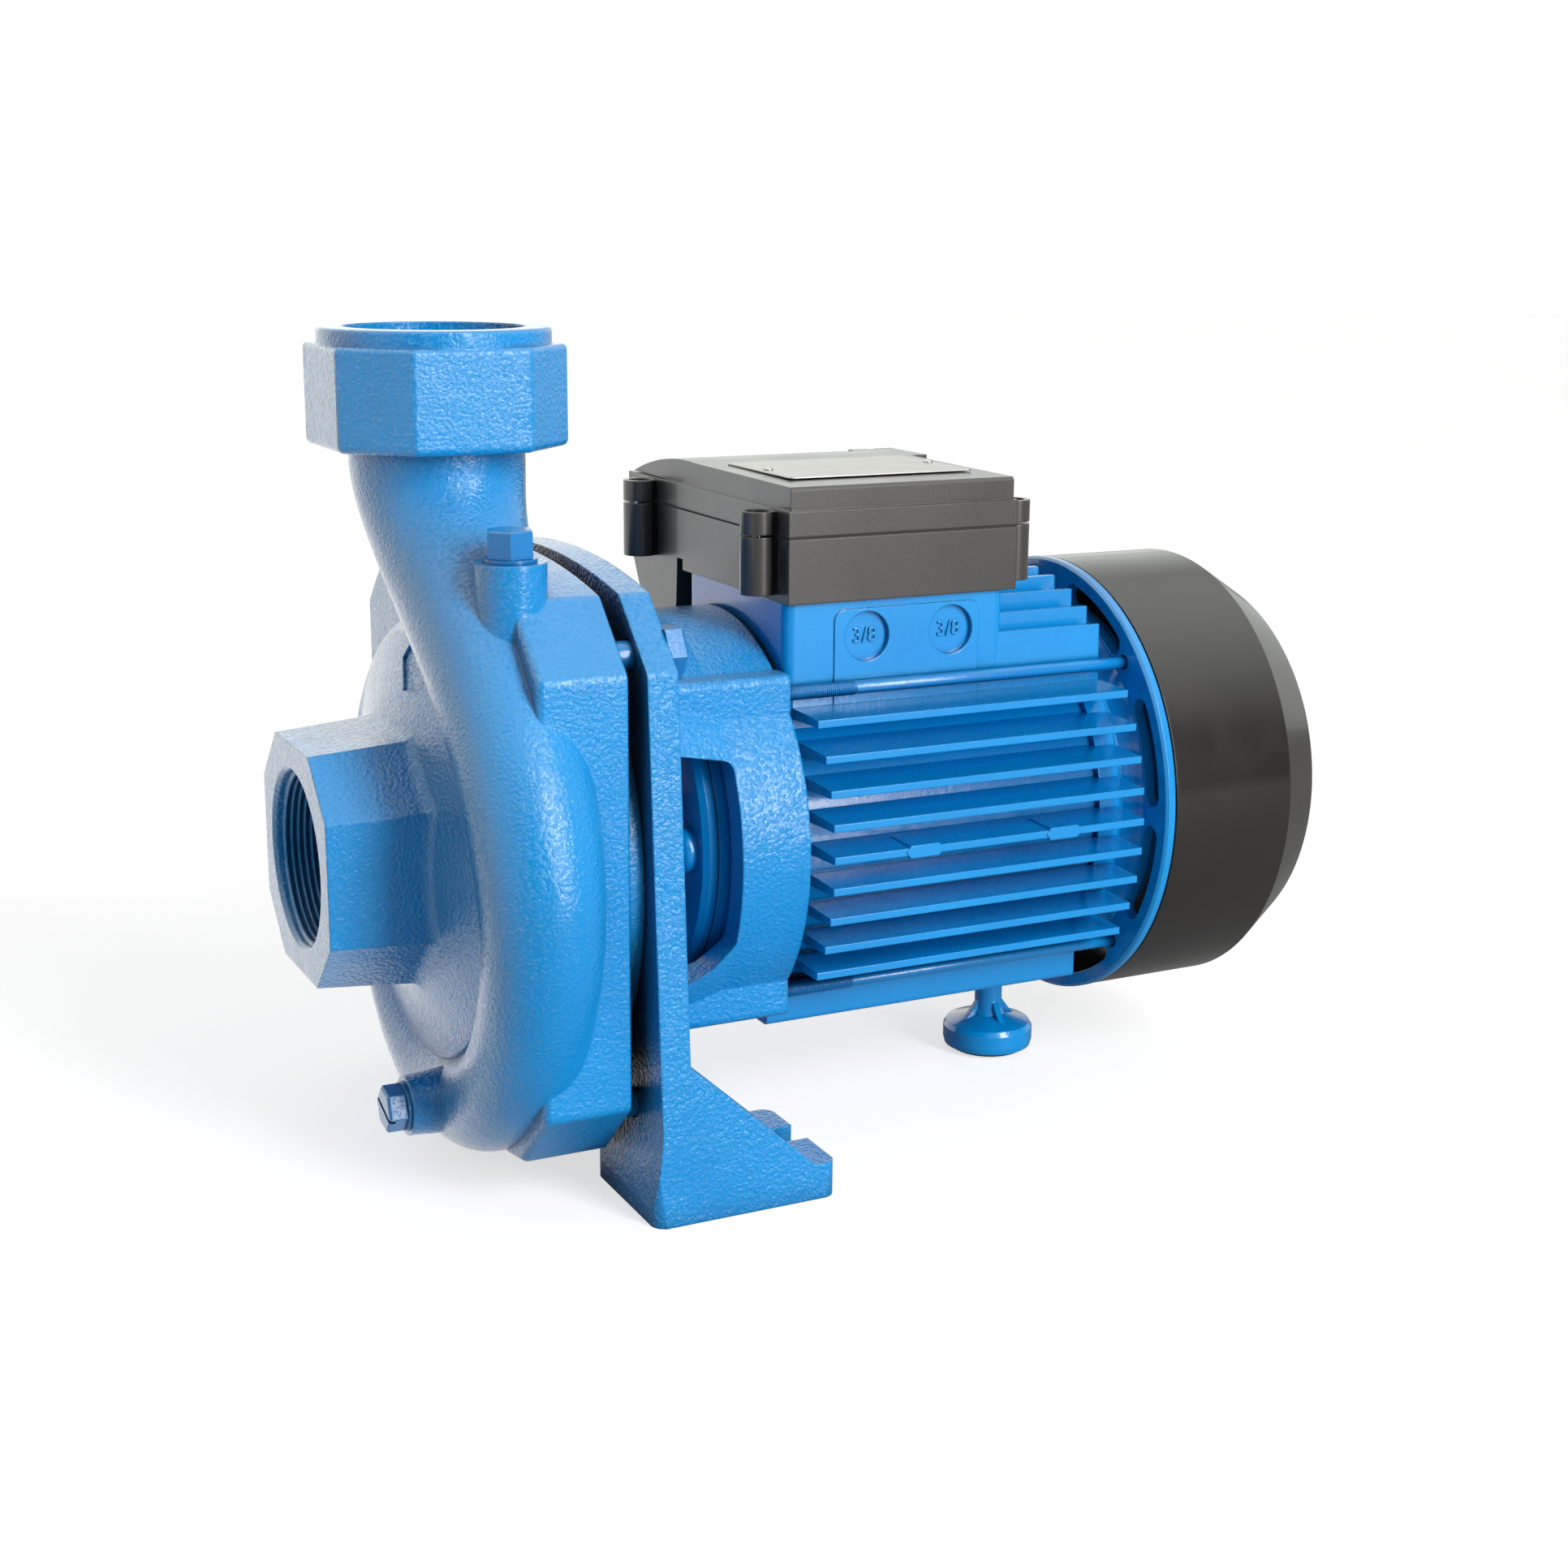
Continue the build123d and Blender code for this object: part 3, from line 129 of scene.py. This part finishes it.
def principled(tree, output, values, links):
    """Add the main shader and link it to the output."""
    shader = node(tree, "ShaderNodeBsdfPrincipled", values, links)
    tree.links.new(shader.outputs["BSDF"], output.inputs["Surface"])


# ---------- materials ----------
# painted shade: the deep blue that narrow gaps in the enamel are darkened towards
PAINTED_SHADE_BLUE = (0.0005, 0.016, 0.055)
# painted shade: the near black that creases in the plastic are darkened towards
PAINTED_CREASE_SHADE = (0.006, 0.005, 0.005)
CREASE_REACH = 0.004
FINE_EDGE = 0.0003


def paint(name, light, dark, grain, depth, sparkle, edge, gloss, gap_reach):
    """Gloss enamel over a casting.

    Grain is the size of the casting's lumps, depth their height, and sparkle the height of the orange peel
    in the enamel's top, which catches the light in small glints. Edge is the radius at sharp edges and gloss
    the range of the roughness. Gaps narrower than gap_reach get painted shade: a deep blue colour and a
    thinner coat.
    """
    made, tree, output, place = blank(name)
    lumps = noise(tree, place, grain, 3.0, 0.55)
    waves = noise(tree, place, grain * 9, 2.0)
    patches = noise(tree, place, 0.045, 3.0)
    cells = node(tree, "ShaderNodeTexVoronoi", {"Scale": 1 / (grain * 2.2)}, {"Vector": place})
    pits = between(tree, cells.outputs["Distance"], 0.0, 0.16, 0.0, 1.0)
    # relief in shares of the depth: lumps that are stronger in some places, pits, and broad waves
    relief = arithmetic(tree, "MULTIPLY", lumps, between(tree, patches, 0.35, 0.65, 0.6, 1.2))
    relief = arithmetic(tree, "ADD", relief, arithmetic(tree, "MULTIPLY", pits, 0.22))
    relief = arithmetic(tree, "ADD", relief, arithmetic(tree, "MULTIPLY", waves, 0.9))
    colour = blend_colours(tree, between(tree, patches, 0.3, 0.7, 0.0, 1.0), dark, light)
    # painted shade: an occlusion mask darkens gaps narrower than gap_reach towards a deep blue
    unshaded_share = between(tree, openness(tree, gap_reach), 0.2, 0.7, 0.0, 1.0)
    colour = blend_colours(tree, unshaded_share, PAINTED_SHADE_BLUE, colour)
    normal = bump(tree, relief, depth, rounded(tree, edge))
    peel = between(tree, lumps, 0.5, 0.72, 0.0, 1.0)
    coat_normal = bump(tree, peel, sparkle, normal)
    # the same mask thins the coat in the gaps, which is painted shade in the reflections
    coat = between(tree, unshaded_share, 0.0, 1.0, 0.1, 0.9)
    roughness = between(tree, lumps, 0.3, 0.7, *gloss)
    principled(tree, output, {"Specular IOR Level": 0.22, "Coat Roughness": 0.11},
               {"Base Color": colour, "Roughness": roughness, "Normal": normal,
                "Coat Weight": coat, "Coat Normal": coat_normal})
    return made


def plastic(name, light, dark, grain, depth, edge, gloss, coat=0.0):
    """Moulded plastic with a fine grain, slight changes of tone and painted shade in its creases."""
    made, tree, output, place = blank(name)
    fine = noise(tree, place, grain, 2.0)
    patches = noise(tree, place, 0.03, 3.0)
    colour = blend_colours(tree, patches, dark, light)
    # painted shade: an occlusion mask darkens creases narrower than CREASE_REACH towards near black
    open_share = between(tree, openness(tree, CREASE_REACH), 0.3, 0.85, 0.0, 1.0)
    colour = blend_colours(tree, open_share, PAINTED_CREASE_SHADE, colour)
    normal = bump(tree, fine, depth, rounded(tree, edge))
    roughness = between(tree, patches, 0.3, 0.7, *gloss)
    principled(tree, output, {"Coat Weight": coat, "Coat Roughness": 0.08},
               {"Base Color": colour, "Roughness": roughness, "Normal": normal})
    return made


def metal(name, light, dark, gloss, stretch=(1, 1, 1), grain=0.0008, depth=0.00002):
    """Machined or sheet metal; stretch draws the grain out into brush or turning marks."""
    made, tree, output, place = blank(name)
    mapping = node(tree, "ShaderNodeMapping", {"Scale": stretch}, {"Vector": place}).outputs["Vector"]
    fine = noise(tree, mapping, grain, 3.0)
    patches = noise(tree, place, 0.012, 2.0)
    colour = blend_colours(tree, between(tree, fine, 0.3, 0.7, 0.0, 1.0), dark, light)
    normal = bump(tree, fine, depth, rounded(tree, FINE_EDGE))
    roughness = between(tree, patches, 0.3, 0.7, *gloss)
    principled(tree, output, {"Metallic": 1.0},
               {"Base Color": colour, "Roughness": roughness, "Normal": normal})
    return made


def dull(name, light, dark, grain, depth, roughness=0.75):
    """Rubber, carbon, ceramic and gasket sheet."""
    made, tree, output, place = blank(name)
    fine = noise(tree, place, grain, 4.0)
    colour = blend_colours(tree, fine, dark, light)
    uneven = between(tree, fine, 0.3, 0.7, roughness - 0.1, roughness)
    normal = bump(tree, fine, depth, rounded(tree, FINE_EDGE))
    principled(tree, output, {}, {"Base Color": colour, "Roughness": uneven, "Normal": normal})
    return made


BLUE = (0.001, 0.27, 0.66)
BLUE_DARK = (0.001, 0.235, 0.58)
cast_paint = paint("cast_paint", BLUE, BLUE_DARK, grain=0.0013, depth=0.00038, sparkle=0.00026,
                   edge=0.0012, gloss=(0.14, 0.22), gap_reach=0.02)
rough_paint = paint("rough_paint", BLUE, BLUE_DARK, grain=0.0015, depth=0.00062, sparkle=0.00055,
                    edge=0.0012, gloss=(0.14, 0.24), gap_reach=0.02)
motor_paint = paint("motor_paint", (0.001, 0.27, 0.67), (0.001, 0.24, 0.61), grain=0.0010, depth=0.00003,
                    sparkle=0.00001, edge=0.0006, gloss=(0.20, 0.30), gap_reach=0.004)
small_paint = paint("small_paint", (0.001, 0.21, 0.55), (0.001, 0.18, 0.48), grain=0.0009, depth=0.00005,
                    sparkle=0.00002, edge=0.0004, gloss=(0.34, 0.44), gap_reach=0.012)

box_plastic = plastic("box_plastic", (0.050, 0.046, 0.043), (0.041, 0.038, 0.035),
                      grain=0.0006, depth=0.00004, edge=0.0007, gloss=(0.26, 0.36), coat=0.35)
cover_plastic = plastic("cover_plastic", (0.019, 0.0168, 0.0155), (0.015, 0.0135, 0.0125),
                        grain=0.0007, depth=0.000012, edge=0.0008, gloss=(0.16, 0.24), coat=0.3)
fan_plastic = plastic("fan_plastic", (0.02, 0.02, 0.02), (0.012, 0.012, 0.012),
                      grain=0.0006, depth=0.00002, edge=0.0004, gloss=(0.4, 0.5))
block_plastic = plastic("block_plastic", (0.03, 0.015, 0.01), (0.02, 0.01, 0.008),
                        grain=0.0006, depth=0.00002, edge=0.0003, gloss=(0.4, 0.5))
can_plastic = plastic("can_plastic", (0.72, 0.71, 0.66), (0.66, 0.65, 0.6),
                      grain=0.0008, depth=0.00001, edge=0.0005, gloss=(0.2, 0.3))

plate_metal = metal("plate_metal", (0.44, 0.43, 0.415), (0.37, 0.36, 0.35),
                    gloss=(0.38, 0.5), stretch=(0.05, 1, 1))
steel = metal("steel", (0.62, 0.62, 0.62), (0.5, 0.5, 0.5), gloss=(0.2, 0.32), stretch=(1, 0.1, 0.1))
bearing_steel = metal("bearing_steel", (0.75, 0.75, 0.76), (0.66, 0.66, 0.67),
                      gloss=(0.1, 0.16), stretch=(1, 0.05, 0.05))
lamination = metal("lamination", (0.42, 0.42, 0.44), (0.25, 0.25, 0.27),
                   gloss=(0.35, 0.5), stretch=(1, 0.02, 0.02), grain=0.0005)
cast_aluminium = metal("cast_aluminium", (0.75, 0.75, 0.75), (0.6, 0.6, 0.6), gloss=(0.35, 0.5), grain=0.0009)
cast_brass = metal("cast_brass", (0.78, 0.55, 0.22), (0.62, 0.42, 0.16),
                   gloss=(0.3, 0.45), grain=0.001, depth=0.00006)
turned_brass = metal("turned_brass", (0.80, 0.60, 0.27), (0.7, 0.5, 0.2),
                     gloss=(0.2, 0.3), stretch=(1, 1, 0.1))
copper_wire = metal("copper_wire", (0.72, 0.32, 0.14), (0.45, 0.17, 0.07),
                    gloss=(0.25, 0.4), stretch=(0.1, 1, 1), grain=0.0006, depth=0.0001)

rubber = dull("rubber", (0.022, 0.022, 0.022), (0.012, 0.012, 0.012), grain=0.001, depth=0.00003)
gasket_sheet = dull("gasket_sheet", (0.03, 0.03, 0.03), (0.015, 0.015, 0.015), grain=0.0008, depth=0.00004)
carbon = dull("carbon", (0.03, 0.03, 0.032), (0.015, 0.015, 0.016),
              grain=0.0006, depth=0.00001, roughness=0.45)
ceramic = dull("ceramic", (0.82, 0.80, 0.72), (0.76, 0.74, 0.66), grain=0.0015, depth=0.000005, roughness=0.3)

LOOKS = {
    cast_paint: ["volute_casing"],
    rough_paint: ["motor_bracket"],
    motor_paint: ["motor_housing", "front_shield", "rear_shield", "support_foot"],
    small_paint: ["priming_plug", "drain_plug", "priming_washer", "drain_washer", "casing_bolts", "tie_rods",
                  "tie_rod_nuts"],
    box_plastic: ["terminal_box_base", "terminal_box_lid"],
    cover_plastic: ["fan_cover"],
    fan_plastic: ["cooling_fan"],
    block_plastic: ["terminal_block"],
    can_plastic: ["capacitor"],
    plate_metal: ["nameplate", "nameplate_rivets"],
    steel: ["shaft", "impeller_key", "impeller_washer", "impeller_nut", "seal_spring", "wave_washer",
            "fan_circlip", "support_foot_screw", "lid_screws"],
    lamination: ["rotor_core", "stator_core"],
    cast_aluminium: ["rotor_end_rings", "capacitor_strap"],
    cast_brass: ["impeller"],
    turned_brass: ["terminal_studs", "terminal_nuts"],
    copper_wire: ["stator_windings"],
    rubber: ["seal_seat_cup", "seal_bellows", "water_slinger"],
    gasket_sheet: ["casing_gasket", "lid_gasket"],
    carbon: ["seal_face"],
    ceramic: ["seal_seat"],
    bearing_steel: [f"{place}_bearing_{piece}" for place in ("front", "rear")
                    for piece in ("outer_ring", "inner_ring", "balls", "cage")],
}
for look, names in LOOKS.items():
    for name in names:
        NODES[name].data.materials.clear()
        NODES[name].data.materials.append(look)


# ---------- mesh helpers ----------
def finish_piece(name, mesh, look, body, sharp_angle=35):
    """Turn a bmesh into a piece that rides on a body; edges sharper than the angle stay sharp."""
    data = bpy.data.meshes.new(name)
    bmesh.ops.recalc_face_normals(mesh, faces=mesh.faces)
    mesh.to_mesh(data)
    mesh.free()
    piece = bpy.data.objects.new(name, data)
    bpy.context.scene.collection.objects.link(piece)
    data.materials.append(look)
    for face in data.polygons:
        face.use_smooth = True
    data.set_sharp_from_angle(angle=radians(sharp_angle))
    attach(piece, body)
    return piece


def thread(mesh, start, axis, side, pitch, turns, root, crest, steps):
    """Helical thread ridge about an axis: root and crest are radii, side a direction square to the axis.

    Its profile is given in pitches along the axis, and the ridge rises over its first half turn and sinks
    over its last.
    """
    other = axis.cross(side)
    profile = [(-0.46, root), (-0.10, crest), (0.10, crest), (0.46, root)]
    rings = []
    count = int(turns * steps)
    for step in range(count + 1):
        angle = 2 * pi * step / steps
        fade = min(1.0, step / steps * 2, (count - step) / steps * 2)
        outward = side * cos(angle) + other * sin(angle)
        centre = start + axis * (pitch * step / steps)
        ring = []
        for along, radius in profile:
            radius = root + (radius - root) * fade
            ring.append(mesh.verts.new(centre + axis * (along * pitch) + outward * radius))
        rings.append(ring)
    for first, second in zip(rings, rings[1:]):
        for corner in range(len(profile)):
            following = (corner + 1) % len(profile)
            mesh.faces.new((first[corner], first[following], second[following], second[corner]))
    mesh.faces.new(rings[0])
    mesh.faces.new(list(reversed(rings[-1])))


def lathe(mesh, profile, centre, axis, side, steps):
    """Revolve (along, radius) points about an axis; a radius of 0 closes an end."""
    other = axis.cross(side)
    rings = []
    for along, radius in profile:
        middle = centre + axis * along
        if radius == 0:
            rings.append([mesh.verts.new(middle)])
            continue
        ring = []
        for step in range(steps):
            angle = 2 * pi * step / steps
            ring.append(mesh.verts.new(middle + (side * cos(angle) + other * sin(angle)) * radius))
        rings.append(ring)
    for first, second in zip(rings, rings[1:]):
        for step in range(steps):
            following = (step + 1) % steps
            corners = [first[step % len(first)], first[following % len(first)],
                       second[following % len(second)], second[step % len(second)]]
            unique = list(dict.fromkeys(corners))
            mesh.faces.new(unique)


def ridge(mesh, points, outward, width, height):
    """Raised line with sloping sides along a run of points."""
    rings = []
    for number, point in enumerate(points):
        before = points[max(number - 1, 0)]
        after = points[min(number + 1, len(points) - 1)]
        side = (after - before).cross(outward).normalized()
        rings.append([mesh.verts.new(point + side * (sideways * width / 2) + outward * rise)
                      for sideways, rise in ((-1, -height), (-0.6, height), (0.6, height), (1, -height))])
    for first, second in zip(rings, rings[1:]):
        for corner in range(3):
            mesh.faces.new((first[corner], first[corner + 1], second[corner + 1], second[corner]))
        mesh.faces.new((first[3], first[0], second[0], second[3]))
    mesh.faces.new(rings[0])
    mesh.faces.new(list(reversed(rings[-1])))


X = Vector((1, 0, 0))
Z = Vector((0, 0, 1))

# ---------- port threads ----------
PORT_PITCH = 2.309 * MM
PORT_ROOT = 29.9 * MM
PORT_CREST = 28.4 * MM
PORT_STEPS = 96
LEAD_IN = 2.2 * MM
SUCTION_TURNS = 7.8
DISCHARGE_X = -77.3 * MM
DISCHARGE_TOP = 285.5 * MM
DISCHARGE_TURNS = 8.8
THREAD_SHARP_ANGLE = 60

mesh = bmesh.new()
thread(mesh, Vector((SUCTION_FACE + LEAD_IN, 0, SHAFT_HEIGHT)), X, Z,
       PORT_PITCH, SUCTION_TURNS, PORT_ROOT, PORT_CREST, PORT_STEPS)
finish_piece("suction_thread", mesh, cast_paint, "pump", THREAD_SHARP_ANGLE)
mesh = bmesh.new()
thread(mesh, Vector((DISCHARGE_X, 0, DISCHARGE_TOP - LEAD_IN)), -Z, X,
       PORT_PITCH, DISCHARGE_TURNS, PORT_ROOT, PORT_CREST, PORT_STEPS)
finish_piece("discharge_thread", mesh, cast_paint, "pump", THREAD_SHARP_ANGLE)

# ---------- tie rods with rolled threads ----------
TIE_OFFSET = 53.3 * MM
ROD_FRONT = 6.0 * MM
ROD_THREAD_END = 53.0 * MM
ROD_REAR = 175.5 * MM
ROD_R = 2.25 * MM
ROD_STEPS = 24
THREAD_CORE = 2.05 * MM
THREAD_CREST = 2.5 * MM
THREAD_PITCH = 0.8 * MM
THREAD_STEPS = 20
HIDDEN_END = 20 * MM              # screwed into the bracket, so left without thread

# a rod is thinner under its thread, and domed at its rear end
reach = ROD_THREAD_END - ROD_FRONT
length = ROD_REAR - ROD_FRONT
rod_profile = [(0, 0), (0, THREAD_CORE), (reach, THREAD_CORE), (reach + 0.6 * MM, ROD_R),
               (length - 1.2 * MM, ROD_R), (length - 0.3 * MM, ROD_R * 0.75), (length, 0)]
rod_turns = (reach - HIDDEN_END) / THREAD_PITCH
mesh = bmesh.new()
for y in (-TIE_OFFSET, TIE_OFFSET):
    for z in (-TIE_OFFSET, TIE_OFFSET):
        foot = Vector((ROD_FRONT, y, SHAFT_HEIGHT + z))
        lathe(mesh, rod_profile, foot, X, Z, ROD_STEPS)
        thread(mesh, foot + X * HIDDEN_END, X, Z,
               THREAD_PITCH, rod_turns, THREAD_CORE * 0.98, THREAD_CREST, THREAD_STEPS)
rods = finish_piece("threaded_tie_rods", mesh, small_paint, "pump", THREAD_SHARP_ANGLE)
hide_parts("tie_rods")

# ---------- raised marks on the castings ----------
KNOCKOUT_FACE = -48.7 * MM
KNOCKOUT_HEIGHT = 180.4 * MM
KNOCKOUTS = {"near_bracket": 58.8 * MM, "near_fan": 92.3 * MM}
MARK_SIZE = 7.6 * MM
MARK_RELIEF = 0.5 * MM
MARK_BEVEL = 0.1 * MM

for place_name, along in KNOCKOUTS.items():
    letters = bpy.data.curves.new("size_mark", "FONT")
    letters.body = "3/8"
    letters.size = MARK_SIZE
    letters.extrude = MARK_RELIEF
    letters.bevel_depth = MARK_BEVEL
    letters.align_x = "CENTER"
    letters.align_y = "CENTER"
    pattern = bpy.data.objects.new("size_mark", letters)
    bpy.context.scene.collection.objects.link(pattern)
    bpy.context.view_layer.update()
    flat_mesh = pattern.to_mesh()
    mesh = bmesh.new()
    mesh.from_mesh(flat_mesh)
    pattern.to_mesh_clear()
    bpy.data.objects.remove(pattern)
    bmesh.ops.rotate(mesh, verts=mesh.verts, matrix=Matrix.Rotation(radians(90), 3, "X"))
    bmesh.ops.translate(mesh, verts=mesh.verts, vec=(along, KNOCKOUT_FACE, KNOCKOUT_HEIGHT))
    finish_piece("size_mark_" + place_name, mesh, motor_paint, "pump")

# bent line cast on the sloping front wall, above the suction boss
CAST_LINE = [(-88.6, -6.2, 184.0), (-90.8, 0.7, 175.6), (-93.4, -7.3, 166.2)]
CAST_LINE_WIDTH = 1.5 * MM
CAST_LINE_HEIGHT = 0.8 * MM
WALL_NORMAL = Vector((-0.95, 0, 0.3))
mesh = bmesh.new()
ridge(mesh, [Vector(point) * MM for point in CAST_LINE], WALL_NORMAL, CAST_LINE_WIDTH, CAST_LINE_HEIGHT)
finish_piece("cast_mark", mesh, cast_paint, "pump", 20)

# ---------- floor, lights and camera ----------
FLOOR_RADIUS = 8.0
FLOOR_DROP = 0.2 * MM
FLOOR_DARK = (0.50, 0.50, 0.50)
FLOOR_LIGHT = (0.54, 0.54, 0.54)
FLOOR_MIRRORED = (0.22, 0.22, 0.22)
FLOOR_GLOW = 0.66
BRIGHT_SIDE = (-0.75, 0.66, 0)    # towards the far left, as the camera sees it
mesh = bmesh.new()
bmesh.ops.create_circle(mesh, cap_ends=True, segments=96, radius=FLOOR_RADIUS)
data = bpy.data.meshes.new("floor")
mesh.to_mesh(data)
mesh.free()
floor = bpy.data.objects.new("floor", data)
floor.location.z = -FLOOR_DROP
bpy.context.scene.collection.objects.link(floor)

# the floor is matt and pale to the camera; mirrored in the paint, it is brightest on the bright side
floor_look, tree, output, place = blank("floor_look")
grain = noise(tree, place, 0.4, 2.0)
ray = tree.nodes.new("ShaderNodeLightPath")
pale = blend_colours(tree, grain, FLOOR_DARK, FLOOR_LIGHT)
colour = blend_colours(tree, ray.outputs["Is Glossy Ray"], pale, FLOOR_MIRRORED)
roughness = between(tree, grain, 0.0, 1.0, 0.6, 0.7)
bearing = node(tree, "ShaderNodeVectorMath", links={0: place})
bearing.operation = "NORMALIZE"
towards = node(tree, "ShaderNodeVectorMath", {1: BRIGHT_SIDE}, {0: bearing.outputs["Vector"]})
towards.operation = "DOT_PRODUCT"
bright = between(tree, towards.outputs["Value"], 0.0, 0.8, 0.04, 1.1)
mirrored = arithmetic(tree, "MULTIPLY", bright, ray.outputs["Is Glossy Ray"])
seen = arithmetic(tree, "MULTIPLY", ray.outputs["Is Camera Ray"], FLOOR_GLOW)
glow = arithmetic(tree, "ADD", mirrored, seen)
principled(tree, output, {"Emission Color": (1, 1, 1, 1)},
           {"Base Color": colour, "Roughness": roughness, "Emission Strength": glow})
data.materials.append(floor_look)

# the studio: what the paint mirrors, what lights the pump and what the camera sees are set apart
MIRRORED_LEAST = 0.06
BACKDROP = 1.1
GLOSS_TINT = (0.97, 1, 0.96)
world = bpy.data.worlds.new("studio")
bpy.context.scene.world = world
world.use_nodes = True
tree = world.node_tree
tree.nodes.clear()
output = tree.nodes.new("ShaderNodeOutputWorld")
direction = tree.nodes.new("ShaderNodeTexCoord").outputs["Generated"]
ray = tree.nodes.new("ShaderNodeLightPath")


def lobe(towards_point, low, high, least, most):
    """Brightness that rises from least to most as the direction turns towards a point."""
    facing = node(tree, "ShaderNodeVectorMath", {1: towards_point}, {0: direction})
    facing.operation = "DOT_PRODUCT"
    return between(tree, facing.outputs["Value"], low, high, least, most)


far_left = lobe((-0.75, 0.63, 0.2), 0.0, 0.8, 0.0, 1.7)
far_right = lobe((0.87, 0.45, 0.2), 0.3, 0.9, 0.0, 0.8)
ceiling = lobe((0, -0.2, 1), 0.5, 0.98, 0.0, 1.8)
ceiling = arithmetic(tree, "ADD", ceiling, MIRRORED_LEAST)
mirrored = arithmetic(tree, "ADD", arithmetic(tree, "ADD", far_left, far_right), ceiling)
fill = lobe((0.35, -0.75, 0.55), -0.6, 1.0, 0.06, 0.44)
mirrored = arithmetic(tree, "MULTIPLY", mirrored, ray.outputs["Is Glossy Ray"])
scattered = arithmetic(tree, "MULTIPLY", ray.outputs["Is Diffuse Ray"], fill)
seen = arithmetic(tree, "MULTIPLY", ray.outputs["Is Camera Ray"], BACKDROP)
strength = arithmetic(tree, "ADD", arithmetic(tree, "ADD", mirrored, scattered), seen)
tint = blend_colours(tree, ray.outputs["Is Glossy Ray"], (1, 1, 1), GLOSS_TINT)
background = node(tree, "ShaderNodeBackground", links={"Color": tint, "Strength": strength})
tree.links.new(background.outputs["Background"], output.inputs["Surface"])


def softbox(name, place, target, width, height, power):
    """Rectangular area light facing a point; its power is in watts."""
    light = bpy.data.lights.new(name, "AREA")
    light.shape = "RECTANGLE"
    light.size = width
    light.size_y = height
    light.energy = power
    made = bpy.data.objects.new(name, light)
    made.location = place
    made.rotation_euler = (Vector(target) - Vector(place)).to_track_quat("-Z", "Y").to_euler()
    bpy.context.scene.collection.objects.link(made)


MIDDLE = (0.05, 0, 0.13)
softbox("window", (0.75, -2.1, 1.05), MIDDLE, width=0.7, height=2.0, power=62)
softbox("overhead", (0.1, 0.3, 2.2), MIDDLE, width=1.8, height=1.4, power=3)

YAW = radians(26.53)
PITCH = radians(13.95)
ROLL = radians(0.45)
LENS = 52.56
SENSOR = 36
CAMERA_PLACE = (-0.3154, -0.7369, 0.3215)
forward = Vector((sin(YAW) * cos(PITCH), cos(YAW) * cos(PITCH), -sin(PITCH)))
level_right = Vector((cos(YAW), -sin(YAW), 0))
level_up = level_right.cross(forward)
right = level_right * cos(ROLL) + level_up * sin(ROLL)
up = level_up * cos(ROLL) - level_right * sin(ROLL)
camera_data = bpy.data.cameras.new("camera")
camera_data.sensor_width = SENSOR
camera_data.lens = LENS
camera_data.clip_start = 0.02
camera = bpy.data.objects.new("camera", camera_data)
turned = Matrix((right, up, -forward)).transposed().to_4x4()
camera.matrix_world = Matrix.Translation(CAMERA_PLACE) @ turned
bpy.context.scene.collection.objects.link(camera)
bpy.context.scene.camera = camera
bpy.context.scene.view_settings.view_transform = "Standard"
